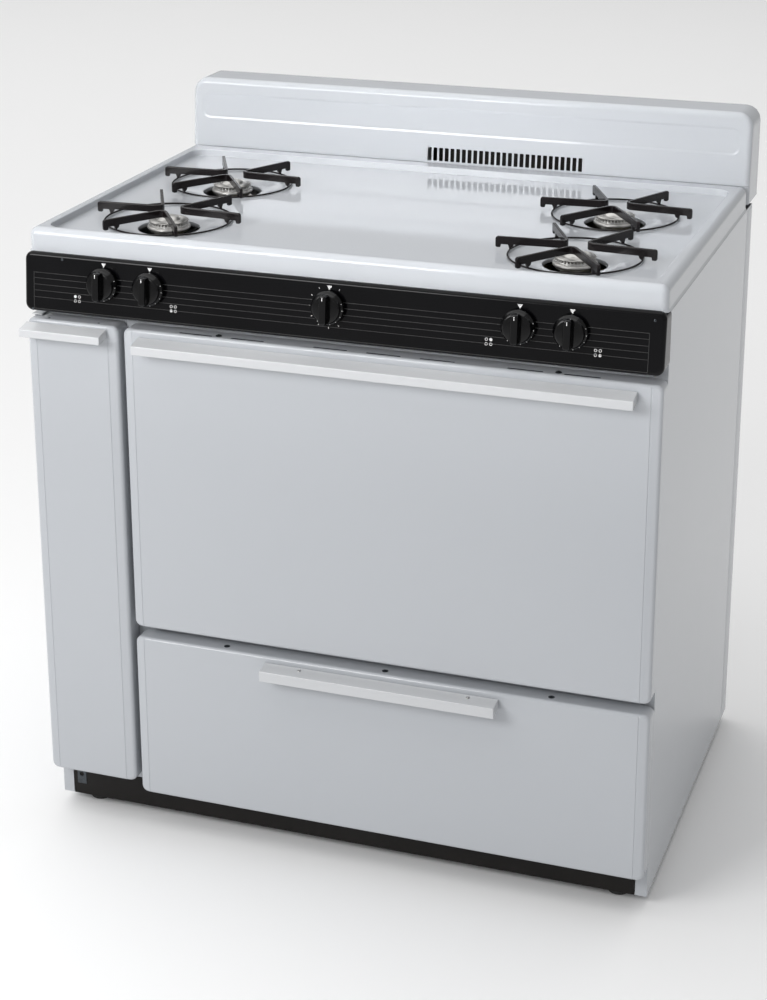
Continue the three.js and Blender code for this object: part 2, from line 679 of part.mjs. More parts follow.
// A round grate: three strips on edge, each bent to a V whose apex is beside the middle and
// whose ends hook down, and the ring their legs stand on.
function grate(x, y) {
  const { reach, apex, ring, ringZ, wire, bar, deep } = GRATE;
  const under = GRATE_TOP - deep;
  const hook = GRATE_TOP - 15;
  const tipX = reach * Math.cos(Math.PI / 6) - apex;
  const tipY = reach * Math.sin(Math.PI / 6);
  const length = Math.hypot(tipX, tipY);
  const slant = Math.atan2(tipY, tipX);
  const leg = length - (reach - ring);
  const side = outline([
    [0, GRATE_TOP], [0, under], [leg - 8, under], [leg - 3, ringZ], [leg + 3, ringZ],
    [leg + 5, under], [length - 7, under], [length - 7, hook], [length, hook], [length, GRATE_TOP],
  ]);
  const parts = [turned(
    [[ring - wire, ringZ], [ring, ringZ - wire], [ring + wire, ringZ], [ring, ringZ + wire],
      [ring - wire, ringZ]],
    0, 0, 24,
  )];
  for (const middle of [-90, 30, 150]) {
    const turn = (middle * Math.PI) / 180;
    for (const way of [-1, 1]) {
      const finger = new THREE.ExtrudeGeometry(side, { depth: bar, bevelEnabled: false });
      finger.translate(0, 0, -bar / 2);
      finger.rotateX(Math.PI / 2);
      finger.rotateZ(way * slant);
      finger.translate(apex, 0, 0);
      finger.rotateZ(turn);
      parts.push(toSolid(finger));
    }
    const bend = [[0, under], [bar / 2, under], [bar / 2, GRATE_TOP], [0, GRATE_TOP]];
    parts.push(turned(bend, apex * Math.cos(turn), apex * Math.sin(turn), 12));
  }
  return join(parts).translate([x, y, 0]);
}

// ---------------------------------------------------------------- doors and drawer
// A pressed pan: a soft-edged front with walls that turn back towards the body.
function facePan({ x0, x1, z0, z1 }) {
  const { front, back, corner } = FACE;
  const w = SHEET;
  const shape = roundedRect(x0, x1, z0, z1, corner);
  const hollow = roundedRect(x0 + w, x1 - w, z0 + w, z1 - w, corner - w);
  const outside = prism("Y", shape, front + SOFT_EDGE, back, SOFT_BEVEL)
    .intersect(block(x0 - 1, x1 + 1, front - 1, back, z0 - 1, z1 + 1));
  const inside = prism("Y", hollow, front + SOFT_EDGE + w, 20, SOFT_BEVEL);
  return outside.subtract(inside);
}

// The storage door's pan has a hole for a hinge pin in its upper and lower wall.
function storagePan() {
  const { x, y, r } = STORAGE_PIN;
  const pinHoles = rod("Z", r + 0.5, STORAGE_DOOR.z0 - 5, STORAGE_DOOR.z1 + 5, x, y, 6);
  return facePan(STORAGE_DOOR).subtract(pinHoles);
}

// A hinge arm of the oven door: curved about the pivot, so that it slides through a slot of the
// front frame as the door drops, and on a foot that sits on the door's inner sheet.
function hingeArm(x) {
  const [from, to] = [-14, 84.6].map(THREE.MathUtils.degToRad);
  const band = new THREE.Shape();
  band.absarc(OVEN_PIVOT.y, OVEN_PIVOT.z, ARM.outer, from, to, false);
  band.absarc(OVEN_PIVOT.y, OVEN_PIVOT.z, ARM.inner, to, from, true);
  const arc = prism("X", band, x - ARM.half, x + ARM.half, { curveSegments: 12 });
  return arc.add(block(x - 8, x + 8, -7.2, -5.7, 418, 452));
}

function ovenDoorLiner() {
  const { x0, x1, z0, z1 } = OVEN_DOOR;
  const inset = SHEET + GAP;
  return block(x0 + inset, x1 - inset, -9, -9 + SHEET, z0 + 9, z1 - 9);
}

// A folded pull: a sloping top, a front lip that hangs down and closed ends.
function handle(x0, x1, topBack, topFront, lipBottom) {
  const back = FACE.front - GAP;
  const front = FACE.front - HANDLE.reach;
  const w = HANDLE.wall;
  const outer = outline([
    [back, topBack], [back, lipBottom + 3], [front, lipBottom], [front, topFront],
  ]);
  const below = lipBottom - 10;
  const hollow = outline([
    [back + 5, topBack - w - 0.5], [back + 5, below], [front + w, below], [front + w, topFront - w],
  ]);
  const room = prism("X", hollow, x0 + w, x1 - w);
  return prism("X", outer, x0, x1).subtract(room);
}

function ovenDoorSeal() {
  return tray([-262, 411, -7, -0.8, 355, 771], [-250, 399, -8, 0, 367, 759]);
}

const TRAY = { x0: -265, x1: 400, y1: 440, z0: 92, z1: 150 };

function drawerTray() {
  const { x0, x1, y1, z0, z1 } = TRAY;
  const box = tray(
    [x0, x1, -3, y1, z0, z1],
    [x0 + SHEET, x1 - SHEET, -2, y1 - SHEET, z0 + SHEET, z1 + 1],
  );
  const front = block(DRAWER_FRONT.x0 + 8, DRAWER_FRONT.x1 - 8, FACE.back + GAP, -1.6, 68, 308);
  const runners = [
    block(x0 - 14, x0 + 1, 14, y1, 98, 98 + SHEET),
    block(x1 + 14, x1 - 1, 14, y1, 98, 98 + SHEET),
  ];
  return join([box, front, ...runners]);
}

const PAN = { x0: -190, x1: 325, y0: 30, y1: 410, z0: 94.5, z1: 146 };

function broilerPan() {
  const { x0, x1, y0, y1, z0, z1 } = PAN;
  const dish = prism("Z", roundedRect(x0, x1, y0, y1, 25), z0, z1);
  const rim = prism("Z", roundedRect(x0 - 8, x1 + 8, y0 - 8, y1 + 8, 33), z1 - 2, z1);
  const room = prism("Z", roundedRect(x0 + 1.6, x1 - 1.6, y0 + 1.6, y1 - 1.6, 23.4), z0 + 1.6, z1 + 1);
  return dish.add(rim).subtract(room);
}

function broilerGrid() {
  const shape = roundedRect(PAN.x0 - 4, PAN.x1 + 4, PAN.y0 - 4, PAN.y1 + 4, 29);
  const plate = prism("Z", shape, PAN.z1 + GAP, PAN.z1 + 2.2);
  const slots = [];
  for (let row = 0; row < 2; row += 1) {
    for (let i = 0; i < 8; i += 1) {
      const x = PAN.x0 + 47 + i * 60;
      const y = PAN.y0 + 30 + row * 165;
      slots.push(block(x - 3, x + 3, y, y + 150, PAN.z1 - 5, PAN.z1 + 8));
    }
  }
  return cut(plate, slots);
}

// ---------------------------------------------------------------- assembly
function buildChassis() {
  piece("side_panel_left", sidePanel(-1), WHITE_ENAMEL);
  piece("side_panel_right", sidePanel(1), WHITE_ENAMEL);
  piece("back_panel", backPanel(), GALVANISED);
  piece("base_pan", basePan(), GALVANISED);
  piece("front_frame", frontFrame(), WHITE_ENAMEL);
  piece("kick_panel", kickPanel(), BLACK_PANEL);
  piece("control_panel", controlPanel(), BLACK_PANEL);
  piece("backguard_shell", backguardShell(), WHITE_ENAMEL);
  piece("backguard_rear_cover", backguardCover(), GALVANISED);
  piece("flue_duct", flueDuct(), GALVANISED);
  piece("oven_liner", ovenLiner(), OVEN_ENAMEL);
  piece("oven_insulation", ovenInsulation(), GLASS_WOOL);
  piece("rack_guides", rackGuides(), CHROME);
  piece("oven_floor_plate", ovenFloorPlate(), OVEN_ENAMEL);
  piece("oven_burner", ovenBurner(), GALVANISED);
  piece("storage_liner", storageLiner(), GALVANISED);
  piece("storage_door_hinge", storageHinge(), GALVANISED);
  piece("drawer_track", drawerTrack(), GALVANISED);
  for (const place of feetPlaces()) {
    piece(place.name, foot(place), FOOT_PLASTIC);
  }
  piece("oven_rack_lower", ovenRack(RACK_LEVELS[0]), CHROME);
  piece("oven_rack_upper", ovenRack(RACK_LEVELS[2]), CHROME);
}

function buildGasTrain() {
  piece("gas_manifold", gasManifold(), GALVANISED);
  piece("pressure_regulator", pressureRegulator(), CAST_ALUMINIUM);
  for (const { name, x, y } of BURNERS) {
    piece(`burner_${name}`, burner(x, y, KNOB_X[name]), CAST_ALUMINIUM);
  }
  piece("burner_valves", burnerValves(), BRASS, panelGroup(0));
  piece("oven_thermostat", ovenThermostat(), BRASS, panelGroup(KNOB_X.oven));
  for (const [name, x] of Object.entries(KNOB_X)) {
    const set = panelGroup(x);
    piece(`stem_${name}`, valveStem(), BRASS, set);
    piece(`knob_${name}`, knob(), BLACK_PLASTIC, set);
  }
}

// A group whose -Y axis stands square on the panel, at the height of the knobs.
function panelGroup(x) {
  const group = new THREE.Group();
  group.position.set(x, KNOB_Y, KNOB_Z);
  group.rotation.x = -PANEL_TILT;
  range.add(group);
  return group;
}

function buildCooktop() {
  piece("cooktop", cooktop(), WHITE_ENAMEL);
  for (const { name, x, y } of BURNERS) {
    piece(`grate_${name}`, grate(x, y), BLACK_ENAMEL);
  }
}

function buildDoors() {
  piece("oven_door_skin", facePan(OVEN_DOOR), WHITE_ENAMEL);
  piece("oven_door_liner", ovenDoorLiner(), OVEN_ENAMEL);
  piece("oven_door_seal", ovenDoorSeal(), WOVEN_SEAL);
  piece("oven_door_hinge_left", hingeArm(ARM.places[0]), GALVANISED);
  piece("oven_door_hinge_right", hingeArm(ARM.places[1]), GALVANISED);
  piece("oven_door_handle", handle(-284, 424, 777, 771, 758), HANDLE_WHITE);
  piece("storage_door_skin", storagePan(), WHITE_ENAMEL);
  piece("storage_door_handle", handle(-457, -332, 783, 778, 766.6), HANDLE_WHITE);
}

function buildDrawer() {
  piece("drawer_front", facePan(DRAWER_FRONT), WHITE_ENAMEL);
  piece("drawer_tray", drawerTray(), GALVANISED);
  piece("drawer_handle", handle(-102.5, 245, 307, 304, 288), HANDLE_WHITE);
  piece("broiler_pan", broilerPan(), OVEN_ENAMEL);
  piece("broiler_grid", broilerGrid(), OVEN_ENAMEL);
}

buildChassis();
buildGasTrain();
buildCooktop();
buildDoors();
buildDrawer();

// The origin goes under the middle of the box, on the floor.
range.updateMatrixWorld(true);
const box = new THREE.Box3().setFromObject(range, true);
range.position.y = -(box.min.y + box.max.y) / 2;

export default range;
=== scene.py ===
"""Freestanding gas range: enamelled sheet metal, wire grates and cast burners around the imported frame.

Lengths inside the helpers are millimetres in the body's own layout: X from the middle, Y back
from the body's front face, Z up from the floor. TO_FRAME turns them into the frame's metres.
"""

import json
import math

import bmesh
import bpy
from mathutils import Matrix, Vector


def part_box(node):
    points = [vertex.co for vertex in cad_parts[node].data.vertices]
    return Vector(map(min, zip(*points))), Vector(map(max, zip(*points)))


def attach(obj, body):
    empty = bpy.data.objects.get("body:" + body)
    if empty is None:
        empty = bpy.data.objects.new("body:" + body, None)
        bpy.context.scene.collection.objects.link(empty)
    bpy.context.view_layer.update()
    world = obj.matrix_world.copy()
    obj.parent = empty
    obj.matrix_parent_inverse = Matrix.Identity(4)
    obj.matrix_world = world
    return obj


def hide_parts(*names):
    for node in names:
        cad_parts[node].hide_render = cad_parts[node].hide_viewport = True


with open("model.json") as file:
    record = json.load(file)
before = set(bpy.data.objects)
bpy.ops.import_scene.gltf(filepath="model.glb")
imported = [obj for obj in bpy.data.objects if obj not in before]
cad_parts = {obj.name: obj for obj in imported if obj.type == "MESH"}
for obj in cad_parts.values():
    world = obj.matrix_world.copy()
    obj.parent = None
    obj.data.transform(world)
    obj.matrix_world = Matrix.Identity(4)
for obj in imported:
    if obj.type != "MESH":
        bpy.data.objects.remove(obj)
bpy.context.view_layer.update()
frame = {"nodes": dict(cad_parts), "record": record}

MM = 0.001
FRONT_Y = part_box("front_frame")[0].y
TO_FRAME = Matrix.Translation((0, FRONT_Y, 0)) @ Matrix.Scale(MM, 4)


def box_mm(node):
    """A CAD node's box as (x0, x1, y0, y1, z0, z1) in millimetres of the body's layout."""
    low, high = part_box(node)
    shift = Vector((0, FRONT_Y, 0))
    low = (low - shift) / MM
    high = (high - shift) / MM
    return low.x, high.x, low.y, high.y, low.z, high.z


# ------------------------------------------------------------------ materials
def new_material(name, color, roughness, metallic=0.0, coat=0.0, specular=0.5):
    material = bpy.data.materials.new(name)
    material.use_nodes = True
    shader = material.node_tree.nodes["Principled BSDF"]
    shader.inputs["Base Color"].default_value = (*color, 1)
    shader.inputs["Roughness"].default_value = roughness
    shader.inputs["Metallic"].default_value = metallic
    shader.inputs["Coat Weight"].default_value = coat
    shader.inputs["Coat Roughness"].default_value = 0.06
    shader.inputs["Specular IOR Level"].default_value = specular
    return material


def node_in(material, kind, **values):
    """A new shader node with some of its inputs set."""
    node = material.node_tree.nodes.new(kind)
    for key, value in values.items():
        node.inputs[key].default_value = value
    return node


def wire(material, source, socket_out, target, socket_in):
    material.node_tree.links.new(source.outputs[socket_out], target.inputs[socket_in])


def shader_of(material):
    return material.node_tree.nodes["Principled BSDF"]


def noise_of(material, scale, detail=3.0, roughness=0.5):
    """A noise in object coordinates; scale is in cycles per metre."""
    coords = node_in(material, "ShaderNodeTexCoord")
    noise = node_in(material, "ShaderNodeTexNoise", Scale=scale, Detail=detail, Roughness=roughness)
    wire(material, coords, "Object", noise, "Vector")
    return noise


def vary_color(material, texture, dark, light, low=0.35, high=0.65, output="Fac"):
    """Base colour from dark to light as the texture goes from low to high."""
    ramp = node_in(material, "ShaderNodeValToRGB")
    ramp.color_ramp.elements[0].position = low
    ramp.color_ramp.elements[0].color = (*dark, 1)
    ramp.color_ramp.elements[1].position = high
    ramp.color_ramp.elements[1].color = (*light, 1)
    wire(material, texture, output, ramp, "Fac")
    wire(material, ramp, "Color", shader_of(material), "Base Color")


def vary_roughness(material, texture, glossy, rough, output="Fac"):
    """Roughness from glossy to rough over the middle of the texture's range."""
    spread = node_in(material, "ShaderNodeMapRange")
    spread.inputs["From Min"].default_value = 0.3
    spread.inputs["From Max"].default_value = 0.7
    spread.inputs["To Min"].default_value = glossy
    spread.inputs["To Max"].default_value = rough
    wire(material, texture, output, spread, "Value")
    wire(material, spread, "Result", shader_of(material), "Roughness")


def add_bump(material, texture, strength, height):
    """Fine relief from a texture, with its height in metres."""
    bump = node_in(material, "ShaderNodeBump", Strength=strength, Distance=height)
    wire(material, texture, "Fac", bump, "Height")
    wire(material, bump, "Normal", shader_of(material), "Normal")


def porcelain(name, light, dark, roughness=0.07):
    """Fired enamel: a faint orange peel under the gloss, and a slow drift in shade."""
    material = new_material(name, light, roughness)
    vary_color(material, noise_of(material, 2.5, 2.0), dark, light, 0.2, 0.8)
    vary_roughness(material, noise_of(material, 18.0, 2.0), roughness - 0.015, roughness + 0.015)
    add_bump(material, noise_of(material, 160.0, 1.0), 0.02, 0.0002)
    return material


def speckled_porcelain(name):
    """Oven enamel: dark blue-grey with fine pale specks."""
    material = new_material(name, (0.03, 0.036, 0.05), 0.25, coat=0.2)
    coords = node_in(material, "ShaderNodeTexCoord")
    specks = node_in(material, "ShaderNodeTexVoronoi", Scale=260.0)
    wire(material, coords, "Object", specks, "Vector")
    vary_color(material, specks, (0.5, 0.52, 0.55), (0.028, 0.034, 0.046), 0.13, 0.2, "Distance")
    add_bump(material, noise_of(material, 300.0), 0.12, 0.0004)
    return material


def black_gloss(name, color, roughness, grain, strength, specular):
    material = new_material(name, color, roughness, specular=specular)
    lighter = tuple(c * 1.5 + 0.001 for c in color)
    vary_color(material, noise_of(material, 14.0), color, lighter, 0.3, 0.7)
    fine = noise_of(material, grain, 3.0)
    vary_roughness(material, fine, roughness * 0.85, roughness * 1.2)
    add_bump(material, fine, strength, 0.0003)
    return material


def zinc_sheet(name):
    """Galvanised steel with its spangle."""
    material = new_material(name, (0.5, 0.51, 0.52), 0.4, 0.95)
    coords = node_in(material, "ShaderNodeTexCoord")
    spangle = node_in(material, "ShaderNodeTexVoronoi", Scale=110.0)
    wire(material, coords, "Object", spangle, "Vector")
    vary_color(material, spangle, (0.5, 0.51, 0.52), (0.58, 0.59, 0.6), 0.1, 0.9, "Color")
    vary_roughness(material, spangle, 0.38, 0.48, "Color")
    return material


def cast_metal(name, color, roughness=0.38):
    material = new_material(name, color, roughness, 0.95)
    darker = tuple(c * 0.72 for c in color)
    vary_color(material, noise_of(material, 60.0, 4.0), darker, color)
    grain = noise_of(material, 900.0, 3.0)
    vary_roughness(material, grain, roughness - 0.1, roughness + 0.12)
    add_bump(material, grain, 0.25, 0.0003)
    return material


def plated_wire(name):
    material = new_material(name, (0.72, 0.72, 0.73), 0.1, 1.0)
    vary_roughness(material, noise_of(material, 40.0), 0.06, 0.16)
    return material


def fibre(name, dark, light, scale):
    material = new_material(name, light, 0.9)
    strands = noise_of(material, scale, 6.0, 0.7)
    vary_color(material, strands, dark, light)
    add_bump(material, strands, 0.8, 0.002)
    return material


WHITE = porcelain("white_enamel", (0.455, 0.473, 0.5), (0.442, 0.46, 0.487))
PULL_WHITE = porcelain("handle_white", (0.55, 0.56, 0.575), (0.535, 0.545, 0.56), 0.22)
# Black ground coat for the inside of the sheets; the same black lines cut slots and holes as painted shade
# for the dark seen through them.
GROUND_COAT_AND_SLOT_SHADE = black_gloss("ground_coat_and_painted_slot_shade", (0.012, 0.013, 0.017), 0.5, 300.0, 0.1, 0.3)
OVEN = speckled_porcelain("oven_enamel")
PANEL = black_gloss("black_panel", (0.0008, 0.0008, 0.0012), 0.18, 400.0, 0.03, 0.2)
KICK = black_gloss("kick_enamel", (0.006, 0.005, 0.0045), 0.35, 300.0, 0.05, 0.2)
PLASTIC = black_gloss("black_plastic", (0.0008, 0.0008, 0.001), 0.16, 600.0, 0.04, 0.3)
GRATE = black_gloss("black_enamel", (0.004, 0.0028, 0.003), 0.2, 200.0, 0.12, 0.3)
FOOT = black_gloss("foot_plastic", (0.02, 0.02, 0.02), 0.6, 400.0, 0.2, 0.4)
# A near-black matt finish for the flue duct behind the backguard's vents.
FLUE_BLACK = black_gloss("flue_black", (0.012, 0.011, 0.010), 0.8, 200.0, 0.3, 0.2)
ZINC = zinc_sheet("galvanised")
ALUMINIUM = cast_metal("cast_aluminium", (0.58, 0.57, 0.55))
BRASS = cast_metal("brass", (0.62, 0.45, 0.18), 0.32)
STEEL = cast_metal("screw_steel", (0.5, 0.5, 0.5), 0.3)
DARK_STEEL = cast_metal("dark_steel", (0.09, 0.10, 0.11), 0.3)
CHROME = plated_wire("chrome")
WOOL = fibre("glass_wool", (0.42, 0.33, 0.12), (0.72, 0.62, 0.3), 180.0)
ROPE = fibre("woven_seal", (0.12, 0.115, 0.10), (0.32, 0.31, 0.28), 500.0)
PRINT = new_material("panel_print", (0.62, 0.62, 0.62), 0.5)
vary_color(PRINT, noise_of(PRINT, 900.0), (0.5, 0.5, 0.5), (0.72, 0.72, 0.72))
STRIPE = new_material("panel_stripe", (0.03, 0.03, 0.03), 0.45, specular=0.2)
vary_color(STRIPE, noise_of(STRIPE, 900.0), (0.022, 0.022, 0.022), (0.042, 0.042, 0.042))


# ------------------------------------------------------------------ mesh helpers
def rounded_rect(u0, u1, v0, v1, radius, steps=6):
    """Points (u, v) round a rectangle with round corners, always in the same order and number."""
    points = []
    corners = [
        (u1 - radius, v0 + radius, -90),
        (u1 - radius, v1 - radius, 0),
        (u0 + radius, v1 - radius, 90),
        (u0 + radius, v0 + radius, 180),
    ]
    for cu, cv, start in corners:
        for i in range(steps + 1):
            angle = math.radians(start + 90 * i / steps)
            points.append((cu + radius * math.cos(angle), cv + radius * math.sin(angle)))
    return points


def circle(radius, count, u=0.0, v=0.0):
    """Points (u, v) round a circle."""
    angles = [2 * math.pi * i / count for i in range(count)]
    return [(u + radius * math.cos(a), v + radius * math.sin(a)) for a in angles]


def skin(bm, loops, cap_start=False, cap_end=False):
    """Faces between neighbouring loops of equally many points."""
    rings = [[bm.verts.new(p) for p in loop] for loop in loops]
    count = len(rings[0])
    for near, far in zip(rings, rings[1:]):
        for i in range(count):
            j = (i + 1) % count
            bm.faces.new((near[i], near[j], far[j], far[i]))
    if cap_start:
        bm.faces.new(list(reversed(rings[0])))
    if cap_end:
        bm.faces.new(rings[-1])
    return rings


def add_prism(bm, loops):
    """A solid between two or more matching outlines, closed at both ends."""
    skin(bm, loops, cap_start=True, cap_end=True)


def tidy_faces(bm):
    """Merges points that coincide and turns every face outwards."""
    bmesh.ops.remove_doubles(bm, verts=bm.verts, dist=0.001)
    bmesh.ops.recalc_face_normals(bm, faces=bm.faces)


def make_piece(bm, name, material, body, stands_for=(), sharp=35, bevel=0.0, thickness=0.0):
    """Turns a mesh in millimetres of the body's layout into a shaded piece that rides on a body."""
    tidy_faces(bm)
    bm.transform(TO_FRAME)
    mesh = bpy.data.meshes.new(name)
    bm.to_mesh(mesh)
    bm.free()
    mesh.materials.append(material)
    piece = bpy.data.objects.new(name, mesh)
    bpy.context.scene.collection.objects.link(piece)
    if thickness:
        mesh.materials.append(GROUND_COAT_AND_SLOT_SHADE)
        solid = piece.modifiers.new("thickness", "SOLIDIFY")
        solid.thickness = thickness * MM
        solid.offset = -1
        solid.use_even_offset = True
        solid.material_offset = 1
    if bevel:
        add_bevel(piece, bevel)
    smooth(mesh, sharp)
    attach(piece, body)
    if stands_for:
        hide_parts(*stands_for)
    return piece


def smooth(mesh, sharp):
    """Smooth shading, with edges over an angle in degrees kept sharp."""
    for polygon in mesh.polygons:
        polygon.use_smooth = True
    mesh.set_sharp_from_angle(angle=math.radians(sharp))


def add_bevel(piece, width, segments=3, angle=35):
    """Rounds a piece's edges by a width in millimetres."""
    bevel = piece.modifiers.new("edges", "BEVEL")
    bevel.width = width * MM
    bevel.segments = segments
    bevel.limit_method = "ANGLE"
    bevel.angle_limit = math.radians(angle)
    bevel.harden_normals = False


def weigh_normals(piece):
    """Keeps large flat faces flat under smooth shading."""
    weighted = piece.modifiers.new("shading", "WEIGHTED_NORMAL")
    weighted.keep_sharp = True
    weighted.weight = 80


def apply_modifiers(piece):
    """Bakes the modifiers into the piece's own mesh."""
    graph = bpy.context.evaluated_depsgraph_get()
    mesh = bpy.data.meshes.new_from_object(piece.evaluated_get(graph))
    piece.modifiers.clear()
    piece.data = mesh


def cut_out(piece, cutter_bm, painted_shade_lining=None):
    """Cuts a mesh in millimetres out of a piece, and lines the cut with a material; a black lining is
    painted shade for the dark inside a slot or hole.
    """
    tidy_faces(cutter_bm)
    cutter_bm.transform(TO_FRAME)
    mesh = bpy.data.meshes.new("cutter")
    cutter_bm.to_mesh(mesh)
    cutter_bm.free()
    mesh.materials.append(painted_shade_lining or piece.data.materials[0])
    cutter = bpy.data.objects.new("cutter", mesh)
    bpy.context.scene.collection.objects.link(cutter)
    boolean = piece.modifiers.new("cut", "BOOLEAN")
    boolean.operation = "DIFFERENCE"
    boolean.solver = "EXACT"
    boolean.material_mode = "TRANSFER"
    boolean.object = cutter
    apply_modifiers(piece)
    bpy.data.objects.remove(cutter)


def add_block(bm, x0, x1, y0, y1, z0, z1):
    """A box between two corners."""
    corners = [(x, y, z) for x in (x0, x1) for y in (y0, y1) for z in (z0, z1)]
    verts = [bm.verts.new(c) for c in corners]
    for quad in ((0, 1, 3, 2), (4, 6, 7, 5), (0, 4, 5, 1), (2, 3, 7, 6), (0, 2, 6, 4), (1, 5, 7, 3)):
        bm.faces.new([verts[i] for i in quad])


def add_turned(bm, profile, count, matrix):
    """A closed solid turned about local Z from (radius, height) points that start and end on the axis."""
    loops = [[(*point, z) for point in circle(max(r, 0.01), count)] for r, z in profile]
    add_prism(bm, [[matrix @ Vector(p) for p in loop] for loop in loops])


def add_ring(bm, radius, wire_radius, centre, count, sides):
    """A torus lying flat, with count steps round it and sides round its wire."""
    loops = []
    for i in range(count + 1):
        a = 2 * math.pi * (i % count) / count
        out = Vector((math.cos(a), math.sin(a), 0))
        loop = []
        for j in range(sides):
            b = 2 * math.pi * j / sides
            spoke = radius + wire_radius * math.cos(b)
            loop.append(Vector(centre) + out * spoke + Vector((0, 0, wire_radius * math.sin(b))))
        loops.append(loop)
    skin(bm, loops)


def add_rod(bm, start, end, radius, sides):
    """A straight round bar between two points."""
    start = Vector(start)
    end = Vector(end)
    along = (end - start).normalized()
    turn = along.to_track_quat("Z", "Y").to_matrix().to_4x4()
    length = (end - start).length
    profile = [(0, 0), (radius, 0), (radius, length), (0, length)]
    add_turned(bm, profile, sides, Matrix.Translation(start) @ turn)


# ------------------------------------------------------------------ fasteners
def screw_matrix(place, facing):
    """Local Z out along facing, at a place."""
    turn = Vector(facing).to_track_quat("Z", "Y").to_matrix().to_4x4()
    return Matrix.Translation(Vector(place)) @ turn


def screws(name, places, facing, body, radius=4.2, rise=0.5, material=None):
    """Pan-head screws with a driver recess in the crown, as one piece; rise is crown over radius."""
    bm = bmesh.new()
    crown = radius * rise
    dome = [(radius * math.cos(t), crown * math.sin(t)) for t in (0.15, 0.5, 0.85, 1.15)]
    recess = [(radius * 0.34, crown * 0.96), (radius * 0.3, crown * 0.86), (radius * 0.12, crown * 0.2)]
    for place in places:
        matrix = screw_matrix(place, facing)
        add_turned(bm, [(0, -1.5), (radius, -1.5), *dome, *recess, (0, crown * 0.15)], 24, matrix)
    make_piece(bm, name, material or STEEL, body, sharp=30)


# ------------------------------------------------------------------ doors and drawer
EDGE = 5.0  # how far the soft front edge of a door turns
CREASE = 15.0  # from the side of a door to its crease
WALL = 1.2  # sheet thickness


def pan_loops(x0, x1, z0, z1, front, back, corner, edge, steps=6):
    """Loops from the rear rim of a pressed pan to the start of its flat front."""
    loops = []
    for along in (back, front + edge):
        loops.append([(u, along, v) for u, v in rounded_rect(x0, x1, z0, z1, corner, steps)])
    for i in range(1, steps + 1):
        angle = math.pi / 2 * i / steps
        inset = edge * (1 - math.cos(angle))
        y = front + edge * (1 - math.sin(angle))
        radius = max(corner - inset, 1.0)
        ring = rounded_rect(x0 + inset, x1 - inset, z0 + inset, z1 - inset, radius, steps)
        loops.append([(u, y, v) for u, v in ring])
    return loops


def add_crease(bm, at, side, front):
    """Scores the front of a pan along a vertical line and leans the strip outside it back."""
    for offset in (-2.4, -0.9, 0.0, 0.9, 2.4):
        geometry = bm.verts[:] + bm.edges[:] + bm.faces[:]
        bmesh.ops.bisect_plane(bm, geom=geometry, plane_co=(at + offset, 0, 0), plane_no=(1, 0, 0))
    for vert in bm.verts:
        if vert.co.y > front + EDGE + 1:
            continue
        beyond = (vert.co.x - at) * side
        if abs(beyond) < 0.5:
            vert.co.y += 0.7
        elif beyond > 0:
            vert.co.y += 0.14 * beyond


def pressed_face(node, name, body):
    """The outside of a door or drawer: a pan with a crease near each upright edge."""
    x0, x1, y0, y1, z0, z1 = box_mm(node)
    bm = bmesh.new()
    skin(bm, pan_loops(x0, x1, z0, z1, y0, y1, 10.0, EDGE), cap_end=True)
    for at, side in ((x0 + CREASE, -1), (x1 - CREASE, 1)):
        add_crease(bm, at, side, y0)
    return make_piece(bm, name, WHITE, body, (node,), thickness=WALL)


def top_edge(node):
    """The middle of a door or drawer along X, and the height of its top edge."""
    x0, x1, _, _, _, z1 = box_mm(node)
    return (x0 + x1) / 2, z1


def slot_cutter(places, half_length, half_width, z):
    """Round-ended slots through a level sheet at height z."""
    cutter = bmesh.new()
    for x, y in places:
        ends = rounded_rect(x - half_length, x + half_length, y - half_width, y + half_width, half_width, 4)
        add_prism(cutter, [[(u, v, z + side) for u, v in ends] for side in (-4, 4)])
    return cutter


def pull(node, name, body, slope):
    """A folded pull: a top that slopes down to the front, a hanging lip and closed ends."""
    x0, x1, front, back, z0, z1 = box_mm(node)
    bm = bmesh.new()
    outer = [(back, z1), (back, z0 + 3), (front, z0), (front, z1 - slope)]
    add_prism(bm, [[(x, y, z) for y, z in outer] for x in (x0, x1)])
    piece = make_piece(bm, name, PULL_WHITE, body, (node,))
    hollow = bmesh.new()
    wall = 2.2
    rear, near = back - 4, front + wall
    below = z0 - 8
    inner = [(rear, z1 - 3.4), (rear, below), (near, below), (near, z1 - slope - wall)]
    add_prism(hollow, [[(x, y, z) for y, z in inner] for x in (x0 + wall, x1 - wall)])
    cut_out(piece, hollow)
    add_bevel(piece, 2.1, 5)
    smooth(piece.data, 35)
    weigh_normals(piece)


def oven_door():
    """The oven door with its air slots and two screws in the top edge, and its pull."""
    node = "oven_door_skin"
    door = pressed_face(node, "oven_door_face", "oven_door")
    middle, top = top_edge(node)
    slots = [(middle + apart, -27) for apart in (-274, -197, -76, 0, 76, 197, 274)]
    # The slots' cut walls are lined black: painted shade for the dark seen through them.
    cut_out(door, slot_cutter(slots, 24.5, 1.9, top), GROUND_COAT_AND_SLOT_SHADE)
    smooth(door.data, 35)
    weigh_normals(door)
    places = [(middle + apart, -23, top) for apart in (-241, 241)]
    screws("oven_door_screws", places, (0, 0, 1), "oven_door", 4.6, material=DARK_STEEL)
    pull("oven_door_handle", "oven_door_pull", "oven_door", 6)


def storage_door():
    """The narrow door with two pin holes in the top edge, and its pull."""
    node = "storage_door_skin"
    door = pressed_face(node, "storage_door_face", "storage_door")
    left = box_mm(node)[0]
    top = top_edge(node)[1]
    # The pin holes' cut walls are lined black: painted shade for the dark inside them.
    cut_out(door, slot_cutter([(left + along, -26) for along in (32, 109)], 1.6, 1.5, top), GROUND_COAT_AND_SLOT_SHADE)
    smooth(door.data, 35)
    weigh_normals(door)
    pull("storage_door_handle", "storage_door_pull", "storage_door", 5)


